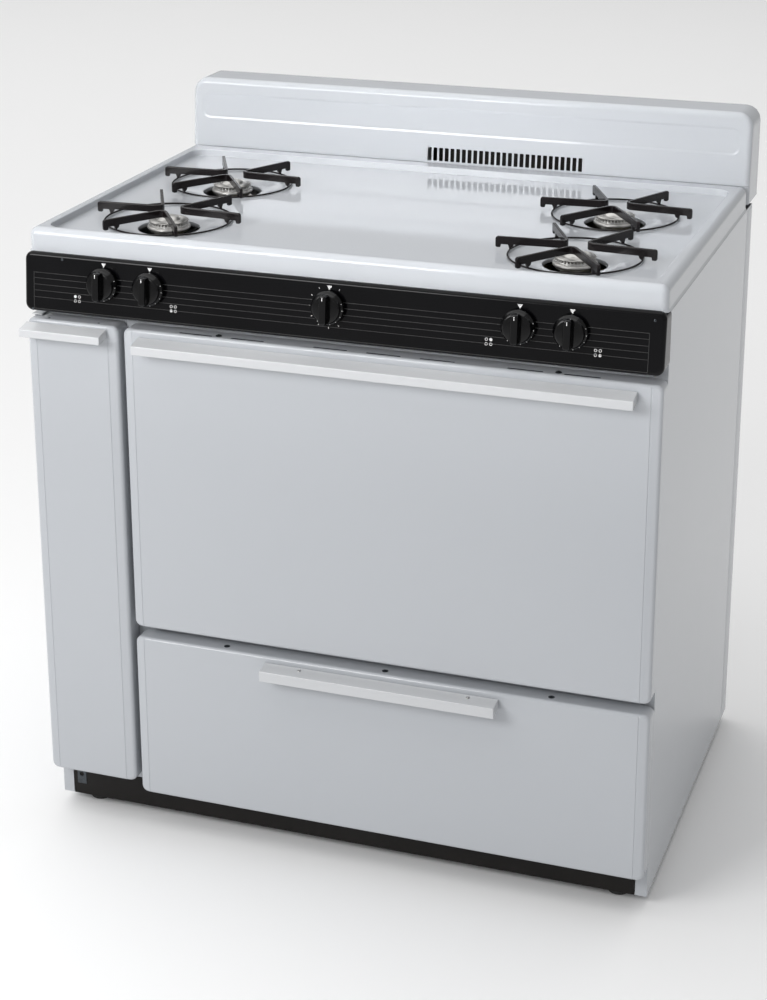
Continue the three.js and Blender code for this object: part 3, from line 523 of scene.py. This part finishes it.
def drawer():
    """The drawer's front with three flat screws in the top edge, and its pull with two."""
    face = pressed_face("drawer_front", "drawer_face", "drawer")
    smooth(face.data, 35)
    weigh_normals(face)
    middle, top = top_edge("drawer_front")
    places = [(middle + apart, -21, top) for apart in (-242, 0, 242)]
    screws("drawer_screws", places, (0, 0, 1), "drawer", 4.6, 0.2, material=DARK_STEEL)
    pull("drawer_handle", "drawer_pull", "drawer", 3)
    left, right, _, back, _, crest = box_mm("drawer_handle")
    places = [(x, back - 8, crest - 1.0) for x in (left + 55, right - 42)]
    screws("drawer_pull_screws", places, (0, -0.12, 1), "drawer", 3.0)


# ------------------------------------------------------------------ cooktop
WELL_FLOOR = 906.0  # height of the recessed floor
BOWL_EDGE = 92.0  # radius of a bowl's shoulder
BOWL_HOLE = 44.0  # radius of the hole round a burner
BOWL_DROP = 10.0  # depth of a bowl under the floor


def burner_places():
    """The burners' centres, which are the middles of their grates."""
    places = {}
    for side in ("left", "right"):
        for row in ("front", "rear"):
            x0, x1, y0, y1, _, _ = box_mm(f"grate_{side}_{row}")
            places[f"{side}_{row}"] = ((x0 + x1) / 2, (y0 + y1) / 2)
    return places


def arc_steps(radius, steps, rising):
    """(inset, drop) pairs round a quarter turn, from level to upright or back."""
    pairs = []
    for i in range(steps + 1):
        a = math.pi / 2 * i / steps
        if rising:
            pairs.append((radius * (1 - math.cos(a)), radius * (1 - math.sin(a))))
        else:
            pairs.append((radius * math.sin(a), radius * (1 - math.cos(a))))
    return pairs


def cooktop():
    """One sheet: a hemmed skirt, a round rim, a recessed well and a bowl for each burner."""
    x0, x1, y0, y1, z0, z1 = box_mm("cooktop")
    edge = 11.0
    hem = 1.6
    corner = 12.0
    bm = bmesh.new()
    loops = []
    for inset, height in ((0.4, z0), (0, z0 + 0.5), (0, z0 + 2.0), (0.3, z0 + 2.6), (hem, z0 + 4.6)):
        ring = rounded_rect(x0 + inset, x1 - inset, y0 + inset, y1 - inset, corner - inset, 8)
        loops.append([(u, v, height) for u, v in ring])
    for arc, drop in arc_steps(edge, 8, True):
        inset = hem + arc
        ring = rounded_rect(x0 + inset, x1 - inset, y0 + inset, y1 - inset, corner - inset, 8)
        loops.append([(u, v, z1 - drop) for u, v in ring])
    lip = 1.4
    fillet = 1.2
    wx0, wx1, wy0, wy1 = x0 + 20, x1 - 20, y0 + 15, y1 - 33
    depth = z1 - WELL_FLOOR
    for inset, drop in arc_steps(lip, 4, False):
        ring = rounded_rect(wx0 + inset, wx1 - inset, wy0 + inset, wy1 - inset, 24 - inset, 8)
        loops.append([(u, v, z1 - drop) for u, v in ring])
    for i in range(5):
        a = math.pi / 2 * i / 4
        inset = lip + fillet * (1 - math.cos(a))
        drop = depth - fillet * (1 - math.sin(a))
        ring = rounded_rect(wx0 + inset, wx1 - inset, wy0 + inset, wy1 - inset, 24 - inset, 8)
        loops.append([(u, v, z1 - drop) for u, v in ring])
    for inset in (lip + fillet + 2.5, lip + fillet + 5):  # a flat margin keeps the floor's shading level
        ring = rounded_rect(wx0 + inset, wx1 - inset, wy0 + inset, wy1 - inset, 24 - inset, 8)
        loops.append([(u, v, WELL_FLOOR) for u, v in ring])
    rings = skin(bm, loops)
    floor_edges = edge_loop(bm, rings[-1])
    for x, y in burner_places().values():
        floor_edges += burner_bowl(bm, x, y)
    bmesh.ops.triangle_fill(bm, use_beauty=True, use_dissolve=False, edges=floor_edges)
    piece = make_piece(bm, "cooktop_sheet", WHITE, "cooktop", ("cooktop",), thickness=WALL)
    weigh_normals(piece)


def edge_loop(bm, ring):
    """The edges between neighbouring points of a closed ring."""
    edges = []
    for i, vert in enumerate(ring):
        edges.append(bm.edges.get((vert, ring[(i + 1) % len(ring)])))
    return edges


def burner_bowl(bm, x, y):
    """A dished bowl with a soft shoulder, and a collar turned down round its hole."""
    low = WELL_FLOOR - BOWL_DROP
    profile = [
        (BOWL_EDGE + 3, WELL_FLOOR),
        (BOWL_EDGE + 1, WELL_FLOOR),
        (BOWL_EDGE, WELL_FLOOR),
        (BOWL_EDGE - 1.5, WELL_FLOOR - 0.25),
        (BOWL_EDGE - 3.5, WELL_FLOOR - 0.9),
        (BOWL_HOLE + 16, low + 1.6),
        (BOWL_HOLE + 11, low + 0.5),
        (BOWL_HOLE + 6, low),
        (BOWL_HOLE + 2, low),
        (BOWL_HOLE + 0.6, low - 0.6),
        (BOWL_HOLE, low - 2),
        (BOWL_HOLE, low - 6),
    ]
    loops = [[(u, v, z) for u, v in circle(r, 72, x, y)] for r, z in profile]
    rings = skin(bm, loops)
    return edge_loop(bm, rings[0])


GRATE_REACH = 112.0  # from the burner's centre to a finger's tip


def grate(name, x, y):
    """Three bent strips and the round wire that joins their legs."""
    body = f"grate_{name}"
    top = box_mm(body)[5]
    bm = bmesh.new()
    for middle in (-90, 30, 150):
        add_grate_v(bm, x, y, top, math.radians(middle))
    piece = make_piece(bm, f"{body}_fingers", GRATE, body, (body,), bevel=0.9)
    weigh_normals(piece)
    ring = bmesh.new()
    add_ring(ring, 91.5, 1.4, (x, y, 908.3), 96, 12)
    make_piece(ring, f"{body}_ring", GRATE, body)


def heading(angle):
    """A level unit vector."""
    return Vector((math.cos(angle), math.sin(angle), 0))


def add_grate_v(bm, x, y, top, middle):
    """Two fingers made of one strip on edge, bent at a round apex beside the burner."""
    apex = heading(middle) * 13.0
    start, end = (heading(middle + turn) * GRATE_REACH for turn in (-math.pi / 6, math.pi / 6))
    path = strip_path(start, apex, end, 10.0)
    half = 2.3
    columns = []
    for point, along, out in path:
        side = along.cross(Vector((0, 0, 1))) * half
        for low, crown in strip_profile(out, top):
            columns.append((point + side, point - side, low, crown))
    loops = []
    centre = Vector((x, y, 0))
    for near, far, low, crown in columns:
        corners = ((near, low), (near, crown), (far, crown), (far, low))
        loops.append([centre + flat + Vector((0, 0, height)) for flat, height in corners])
    add_prism(bm, loops)


def strip_path(start, apex, end, radius):
    """(point, direction, distance from the burner's centre) along two straights and a bend."""
    into = (apex - start).normalized()
    away = (end - apex).normalized()
    half_turn = into.angle(away) / 2
    trim = radius * math.tan(half_turn)
    bend_in = apex - into * trim
    bend_out = apex + away * trim
    stations = []
    span = (bend_in - start).length
    marks = [0, 0.9, 2.6, 6.8, 7.6, 17.6, 18.6, 19.6, 24.4, 25.4, 27.0, 40, span * 0.8, span]
    for mark in marks:
        stations.append((start + into * mark, into))
    for i in range(1, 8):
        t = i / 8
        point = bend_in.lerp(apex, t).lerp(apex.lerp(bend_out, t), t)
        along = into.lerp(away, t).normalized()
        stations.append((point, along))
    for mark in reversed(marks):
        stations.append((end - away * mark, away))
    return [(point, along, point.length) for point, along in stations]


def strip_profile(out, top):
    """Lower and upper edge of the strip at a distance from the centre: hook, plain edge, leg."""
    tip = GRATE_REACH - out
    under = top - 10.6
    if tip < 0.5:
        return [(top - 13.0, top - 3.6)]
    if tip < 1.8:
        return [(top - 15.0, top - 1.2)]
    if tip < 7.0:
        return [(top - 15.4, top)]
    if tip < 17.9:
        return [(under - 0.4, top)]
    if tip < 18.9:
        return [(top - 14.0, top)]
    if tip < 24.0:
        return [(top - 17.4, top)]
    if tip < 25.0:
        return [(top - 14.0, top)]
    return [(under, top)]


def burner(name, x, y):
    """The head that shows: a base flange, a crown of ports and a domed cap, on its casting."""
    node = f"burner_{name}"
    bm = bmesh.new()
    count = 144
    teeth = 36
    base = 897.0
    flange = [(20, base - 8), (27, base - 5), (30.2, base - 1.5), (31, base + 0.5), (30.8, base + 2.2)]
    flange += [(29.8, base + 3.4), (28.6, base + 3.8)]
    loops = [[(u, v, z) for u, v in circle(r, count, x, y)] for r, z in [(0.01, base - 8), *flange]]
    for z, outer, inner in ((base + 4.2, 28.4, 24.6), (base + 9.0, 27.8, 24.2)):
        loop = []
        for i in range(count):
            radius = outer if (i * teeth * 2 // count) % 2 == 0 else inner
            a = 2 * math.pi * i / count
            loop.append((x + radius * math.cos(a), y + radius * math.sin(a), z))
        loops.append(loop)
    cap = [(28.2, base + 9.3), (28.6, base + 10.2), (27.8, base + 11.2), (24.0, base + 12.2)]
    cap += [(20.5, base + 12.4), (18.4, base + 11.6), (17.0, base + 11.9), (14.5, base + 14.4)]
    cap += [(10.5, base + 16.4), (7.5, base + 17.2), (3, base + 17.5), (0.01, base + 17.5)]
    loops += [[(u, v, z) for u, v in circle(r, count, x, y)] for r, z in cap]
    skin(bm, loops, cap_start=True, cap_end=True)
    make_piece(bm, f"{node}_head", ALUMINIUM, "chassis", sharp=28)


# ------------------------------------------------------------------ backguard
def backguard():
    """A folded sheet with soft ends, an embossed field, a groove at its foot and a row of vents."""
    x0, x1, y0, y1, z0, z1 = box_mm("backguard_shell")
    lean = 9.5  # how far the face leans back by its top
    corner = 24.0
    soft = 9.0  # rounding of the front edge
    base = 912.0  # height of the groove
    bm = bmesh.new()
    loops = [[(u, y1, v) for u, v in guard_outline(x0, x1, z0, z1, corner)]]
    for i in range(8):
        a = math.pi / 2 * i / 7
        inset = soft * (1 - math.cos(a))
        y = y0 + soft * (1 - math.sin(a))
        outline = guard_outline(x0 + inset, x1 - inset, z0, z1 - inset, corner - inset)
        loops.append([(u, y, v) for u, v in outline])
    for inset, depth in ((0, 0), (1.2, 0.2), (3.2, 0.75), (4.5, 0.95)):
        left, right = x0 + 16 + inset, x1 - 16 - inset
        field = guard_outline(left, right, 959 + inset, z1 - 22 - inset, 14 - inset, 14 - inset)
        loops.append([(u, y0 + depth, v) for u, v in field])
    skin(bm, loops, cap_end=True)
    for z in (base + 1.2, base + 2.4, base + 4, base + 6):
        geometry = bm.verts[:] + bm.edges[:] + bm.faces[:]
        bmesh.ops.bisect_plane(bm, geom=geometry, plane_co=(0, 0, z), plane_no=(0, 0, 1))
    for vert in bm.verts:
        if vert.co.y > y0 + 30:
            continue
        if vert.co.z < base + 1.5:
            vert.co.y += 2.0
        elif vert.co.z > base + 6:
            vert.co.y += lean * (vert.co.z - base - 6) / (z1 - base - 6)
    bm.faces.ensure_lookup_table()
    flat = [f for f in bm.faces if abs(f.normal.z) > 0.99 and f.calc_center_median().z < z0 + 1]
    bmesh.ops.delete(bm, geom=flat, context="FACES")
    replaced = ("backguard_shell",)
    piece = make_piece(bm, "backguard_sheet", WHITE, "chassis", replaced, thickness=WALL)
    vent_count = 27
    vent_pitch = 9.4
    vent_middle = 73
    cutter = bmesh.new()
    for i in range(vent_count):
        x = vent_middle + (i - (vent_count - 1) / 2) * vent_pitch
        ends = rounded_rect(x - 3.2, x + 3.2, 917.5, 938.5, 1.2, 2)
        add_prism(cutter, [[(u, y, v) for u, v in ends] for y in (y0 - 6, y0 + 6)])
    # The vents' cut walls are lined black: painted shade for the dark seen through them.
    cut_out(piece, cutter, GROUND_COAT_AND_SLOT_SHADE)
    smooth(piece.data, 35)
    weigh_normals(piece)


def guard_outline(x0, x1, z0, z1, corner, low_corner=0.6, steps=10):
    """A rounded outline whose lower corners have a radius of their own."""
    points = []
    places = (
        (x1 - corner, z1 - corner, corner, 0),
        (x0 + corner, z1 - corner, corner, 90),
        (x0 + low_corner, z0 + low_corner, low_corner, 180),
        (x1 - low_corner, z0 + low_corner, low_corner, 270),
    )
    for u, v, radius, start in places:
        for i in range(steps + 1):
            a = math.radians(start + 90 * i / steps)
            points.append((u + radius * math.cos(a), v + radius * math.sin(a)))
    return points


def kick_bracket():
    """The small tab with a hole on the left end of the kick panel."""
    x0, _, y0, _, _, z1 = box_mm("kick_panel")
    bm = bmesh.new()
    add_block(bm, x0 + 6, x0 + 21, y0 - 1.2, y0 + 1, z1 - 27, z1 - 2)
    piece = make_piece(bm, "kick_bracket", DARK_STEEL, "chassis")
    hole = bmesh.new()
    x, z = x0 + 13.5, z1 - 11
    add_rod(hole, (x, y0 - 4, z), (x, y0 + 4, z), 3.4, 24)
    # The hole's cut wall is lined black: painted shade for the dark inside it.
    cut_out(piece, hole, GROUND_COAT_AND_SLOT_SHADE)
    add_bevel(piece, 0.4, 2)
    smooth(piece.data, 35)


def side_folds():
    """The shallow fold down the rear edge of each side panel."""
    for name in ("left", "right"):
        x0, x1, _, y1, z0, z1 = box_mm(f"side_panel_{name}")
        outer = x0 if name == "left" else x1
        out = -1 if name == "left" else 1
        bm = bmesh.new()
        loops = []
        for y, proud in ((y1 - 42, -0.3), (y1 - 42, 0), (y1 - 40.6, 0.3), (y1 - 0.6, 0.3), (y1 - 0.6, -0.3)):
            loops.append([(outer + out * proud, y, z0 + 4), (outer + out * proud, y, z1 - 4)])
        rings = [[bm.verts.new(p) for p in loop] for loop in loops]
        for near, far in zip(rings, rings[1:] + rings[:1]):
            bm.faces.new((near[0], near[1], far[1], far[0]))
        for end in (0, 1):
            bm.faces.new([ring[end] for ring in rings])
        make_piece(bm, f"side_fold_{name}", WHITE, "chassis")


# ------------------------------------------------------------------ control panel and knobs
KNOBS = ("left_rear", "left_front", "oven", "right_rear", "right_front")
KNOB_Z = 848  # height of the knobs' axes at the panel


def panel_face():
    """The panel's pan, leaning back; returns the plane of its face as (y0, z0, slope)."""
    x0, x1, y0, y1, z0, z1 = box_mm("control_panel")
    top_front = -30.0  # the face leans back to here at its top
    slope = (top_front - y0) / (z1 - z0)
    bm = bmesh.new()
    skin(bm, pan_loops(x0, x1, z0, z1, y0, y1, 11.0, 5.5), cap_end=True)
    for vert in bm.verts:
        if vert.co.y < y0 + 8:
            vert.co.y += (vert.co.z - z0) * slope
    replaced = ("control_panel",)
    piece = make_piece(bm, "control_panel_face", PANEL, "chassis", replaced, thickness=WALL)
    cutter = bmesh.new()  # room for the cooktop's front edge
    add_block(cutter, x0 - 1, x1 + 1, -22.5, 5, 879, z1 + 2)
    cut_out(piece, cutter)
    smooth(piece.data, 35)
    weigh_normals(piece)
    return y0, z0, slope


def panel_matrix(x, z, y0, z0, slope):
    """Local X to the right, local Y up the panel, local Z out of it, at a point of its face."""
    tilt = math.atan(slope)
    out = Vector((0, -math.cos(tilt), math.sin(tilt)))
    up = Vector((0, math.sin(tilt), math.cos(tilt)))
    right = Vector((1, 0, 0))
    turn = Matrix((right, up, out)).transposed().to_4x4()
    return Matrix.Translation((x, y0 + (z - z0) * slope, z)) @ turn


def print_shape(bm, matrix, points, proud=0.12):
    """A flat printed mark, a hair proud of the panel."""
    add_prism(bm, [[matrix @ Vector((u, v, w)) for u, v in points] for w in (-0.3, proud)])


def panel_print(*plane):
    """Pinstripes, pointer triangles, ticks and burner symbols, and the panel's small screws."""
    stripes = bmesh.new()
    left, right = -442.0, 436.0
    low, high = 804.5, 856.0
    for z in (high, 848, 839, 830.5, 821, low):
        matrix = panel_matrix(0, z, *plane)
        print_shape(stripes, matrix, [(left, -0.4), (right, -0.4), (right, 0.4), (left, 0.4)])
    for x in (left, right):
        matrix = panel_matrix(x, low, *plane)
        print_shape(stripes, matrix, [(-0.4, 0), (0.4, 0), (0.4, high - low), (-0.4, high - low)])
    make_piece(stripes, "panel_pinstripes", STRIPE, "chassis")
    marks = bmesh.new()
    for node in KNOBS:
        x = knob_x(node)
        print_shape(marks, panel_matrix(x, 874, *plane), [(-3.6, 3.2), (0, -2.8), (3.6, 3.2)])
        if node == "oven":
            for tick in range(9):
                angle = math.radians(-60 - tick * 30)
                add_tick(marks, panel_matrix(x, KNOB_Z, *plane), angle, 27.5, 29.5)
            continue
        beside = -40.5 if node.endswith("rear") else 36
        burner_symbol(marks, x + beside, 823.5, node, plane)
    make_piece(marks, "panel_marks", PRINT, "chassis")
    for number, (x, z) in enumerate(((442, 873), (-398, 877), (-444, 803)), 1):
        place = panel_matrix(x, z, *plane)
        facing = place.to_3x3() @ Vector((0, 0, 1))
        name = f"panel_screw_{number}"
        screws(name, [place.translation], facing, "chassis", 1.9, material=DARK_STEEL)


def add_tick(bm, matrix, angle, inner, outer):
    """A short printed line that points away from the middle of a dial."""
    along = heading(angle)
    across = Vector((-along.y, along.x, 0)) * 0.4
    near, far = along * inner, along * outer
    points = [near - across, far - across, far + across, near + across]
    print_shape(bm, matrix, [(p.x, p.y) for p in points])


def burner_symbol(bm, x, z, node, plane):
    """Four small rings, one of them filled for the burner that the knob serves."""
    filled = (node.startswith("right"), node.endswith("rear"))
    for right in (False, True):
        for rear in (False, True):
            matrix = panel_matrix(x + (3.1 if right else -3.1), z + (3.1 if rear else -3.1), *plane)
            outer = circle(2.1, 20)
            if (right, rear) == filled:
                print_shape(bm, matrix, outer)
                continue
            inner = circle(1.45, 20)
            levels = ((outer, -0.3), (outer, 0.12), (inner, 0.12), (inner, -0.3))
            skin(bm, [[matrix @ Vector((u, v, w)) for u, v in ring] for ring, w in levels])


def knob_x(name):
    x0, x1 = box_mm(f"knob_{name}")[:2]
    return (x0 + x1) / 2


def knob(name, plane):
    """A moulded knob: a skirt bored for its shaft, a waist and a tall grip with a white pointer."""
    body = f"knob_{name}"
    matrix = panel_matrix(knob_x(name), KNOB_Z, *plane)
    bm = bmesh.new()
    profile = [(4.6, 16.4), (4.6, 4), (23.0, 4), (23.5, 4.6), (23.5, 7.5), (22.8, 9.2), (21.2, 10.6)]
    profile += [(20.2, 12.0), (19.6, 14.6), (18.6, 15.8), (17, 16.2), (4.6, 16.4)]
    loops = [[matrix @ Vector((*point, z)) for point in circle(r, 64)] for r, z in profile]
    skin(bm, loops)
    make_piece(bm, f"{body}_skirt", PLASTIC, body, (body,), sharp=40)
    grip = bmesh.new()
    crest = 28
    loops = []
    for height, half, length in ((16.3, 7.4, 20.2), (18, 6.6, 20.6), (26, 5.4, 20.2), (crest, 4.2, 18.8)):
        ring = rounded_rect(-half, half, -length, length, half * 0.8, 6)
        loops.append([matrix @ Vector((u, v, height)) for u, v in ring])
    add_prism(grip, loops)
    piece = make_piece(grip, f"{body}_grip", PLASTIC, body, bevel=0.8)
    weigh_normals(piece)
    pointer = bmesh.new()
    top = matrix @ Matrix.Translation((0, 0, crest))
    print_shape(pointer, top, [(-0.5, 13), (0.5, 13), (0.5, 17.8), (-0.5, 17.8)], 0.15)
    dial = matrix @ Matrix.Translation((0, 0, 10.0))
    for step in range(7):
        add_tick(pointer, dial, math.radians(20 - step * 24), 21.2, 22.6)
    make_piece(pointer, f"{body}_pointer", PRINT, body)


# ------------------------------------------------------------------ inside the oven
def oven_rack(name):
    """A plated rack: a stout border, a rail across its middle and fine rods laid over both."""
    body = f"oven_rack_{name}"
    x0, x1, y0, y1, z0, _ = box_mm(body)
    stout = 3.1
    level = z0 + stout
    bm = bmesh.new()
    corner = 14.0
    ring = rounded_rect(x0 + stout, x1 - stout, y0 + stout, y1 - stout, corner, 6)
    path = [(u, v, level) for u, v in ring]
    loops = []
    count = len(path)
    for i in range(count + 1):
        point = Vector(path[i % count])
        along = Vector(path[(i + 1) % count]) - Vector(path[(i - 1) % count])
        turn = along.normalized().to_track_quat("Z", "Y").to_matrix()
        loops.append([point + turn @ Vector((*c, 0)) for c in circle(stout, 10)])
    skin(bm, loops)
    middle = (y0 + y1) / 2
    add_rod(bm, (x0 + stout, middle, level), (x1 - stout, middle, level), 2.6, 10)
    fine = 1.6
    count = 26
    for i in range(1, count):
        x = x0 + (x1 - x0) * i / count
        add_rod(bm, (x, y0 + stout, level + 3.2), (x, y1 - stout, level + 3.2), fine, 8)
    make_piece(bm, f"{body}_wires", CHROME, body, (body,), sharp=50)


def foot(name):
    """A levelling foot: a moulded pad on a threaded stud."""
    node = f"foot_{name}"
    x0, x1, y0, y1, z0, z1 = box_mm(node)
    r = (x1 - x0) / 2
    matrix = Matrix.Translation(((x0 + x1) / 2, (y0 + y1) / 2, 0))
    pad_top = z0 + 12
    bm = bmesh.new()
    profile = [(0, z0), (r - 2, z0), (r - 0.6, z0 + 0.6), (r, z0 + 2), (r, z0 + 8.6)]
    profile += [(r - 1, z0 + 9.6), (r - 5, pad_top), (0, pad_top)]
    add_turned(bm, profile, 40, matrix)
    make_piece(bm, f"{node}_pad", FOOT, node, (node,))
    stud = bmesh.new()
    thread = [(4.6 if i % 2 else 5.0, pad_top - 0.5 + i) for i in range(int(z1 - pad_top))]
    add_turned(stud, [(0, pad_top - 1), *thread, (0, thread[-1][1] + 0.5)], 20, matrix)
    make_piece(stud, f"{node}_stud", STEEL, node)


# ------------------------------------------------------------------ carried-over CAD nodes
SLOT_MATERIALS = {
    "white_enamel": WHITE,
    "handle_white": PULL_WHITE,
    "black_enamel": GRATE,
    "black_panel": PANEL,
    "black_plastic": PLASTIC,
    "oven_enamel": OVEN,
    "galvanised": ZINC,
    "cast_aluminium": ALUMINIUM,
    "brass": BRASS,
    "chrome": CHROME,
    "glass_wool": WOOL,
    "woven_seal": ROPE,
    "foot_plastic": FOOT,
}
SPECIAL_MATERIALS = {"kick_panel": KICK, "flue_duct": FLUE_BLACK}


def dress_cad_nodes():
    """Materials for every CAD node, and softened sheet edges for the ones that stay."""
    for row in frame["record"]["subparts"]:
        name = row["node"]
        piece = frame["nodes"][name]
        piece.data.materials.clear()
        piece.data.materials.append(SPECIAL_MATERIALS.get(name, SLOT_MATERIALS[row["material_slot"]]))
        weld = piece.modifiers.new("weld", "WELD")
        weld.merge_threshold = 0.00001
        add_bevel(piece, 0.4, 2, 40)


# ------------------------------------------------------------------ stage
def stage():
    """A wide pale floor."""
    bpy.ops.mesh.primitive_plane_add(size=80, location=(0, 0, 0))
    floor = bpy.context.object
    floor.name = "floor"
    material = new_material("floor_paper", (0.88, 0.88, 0.88), 0.7, specular=0.2)
    vary_roughness(material, noise_of(material, 6.0), 0.65, 0.75)
    floor.data.materials.append(material)


def area_light(name, place, target, size, power, spread=180, glossy=True):
    """A rectangular lamp aimed at a target; glossy is whether it shows in reflections."""
    data = bpy.data.lights.new(name, "AREA")
    data.shape = "RECTANGLE"
    data.size, data.size_y = size
    data.energy = power
    data.spread = math.radians(spread)
    lamp = bpy.data.objects.new(name, data)
    bpy.context.scene.collection.objects.link(lamp)
    lamp.location = place
    lamp.rotation_mode = "QUATERNION"
    lamp.rotation_quaternion = (Vector(target) - Vector(place)).to_track_quat("-Z", "Y")
    lamp.visible_glossy = glossy


def lights():
    """A white surround, a key light from the front left, a strip for the backguard and a large one above."""
    world = bpy.data.worlds.new("studio")
    bpy.context.scene.world = world
    world.use_nodes = True
    background = world.node_tree.nodes["Background"]
    background.inputs["Color"].default_value = (1.0, 1.0, 1.0, 1)
    background.inputs["Strength"].default_value = 0.46
    area_light("key", (-1.35, -2.5, 2.0), (-0.1, -0.1, 1.0), (1.6, 1.0), 49)
    area_light("guard", (-0.2, -1.9, 1.4), (0.02, 0.28, 1.0), (1.2, 0.2), 1.6, 30, glossy=False)
    area_light("top", (-3.0, 2.5, 8.0), (-1.0, 2.5, 0), (14.0, 14.0), 650)
    bpy.context.scene.view_settings.view_transform = "Standard"


def camera():
    """Looks down from the front right through a long lens, shifted to keep the range in the picture."""
    data = bpy.data.cameras.new("camera")
    data.sensor_width = 36
    data.lens = 76.7
    data.shift_y = -0.15
    piece = bpy.data.objects.new("camera", data)
    bpy.context.scene.collection.objects.link(piece)
    piece.location = (0.969, FRONT_Y - 2.584, 1.68)
    piece.rotation_euler = (math.radians(90 - 18.12), math.radians(0.1), math.radians(19.24))
    data.clip_start = 0.05
    bpy.context.scene.camera = piece


camera()
stage()
lights()
dress_cad_nodes()
oven_door()
storage_door()
drawer()
cooktop()
for place_name, (place_x, place_y) in burner_places().items():
    grate(place_name, place_x, place_y)
    burner(place_name, place_x, place_y)
backguard()
side_folds()
kick_bracket()
PANEL_PLANE = panel_face()
panel_print(*PANEL_PLANE)
for knob_name in KNOBS:
    knob(knob_name, PANEL_PLANE)
for rack_name in ("lower", "upper"):
    oven_rack(rack_name)
for foot_name in ("front_left", "rear_left", "front_right", "rear_right"):
    foot(foot_name)
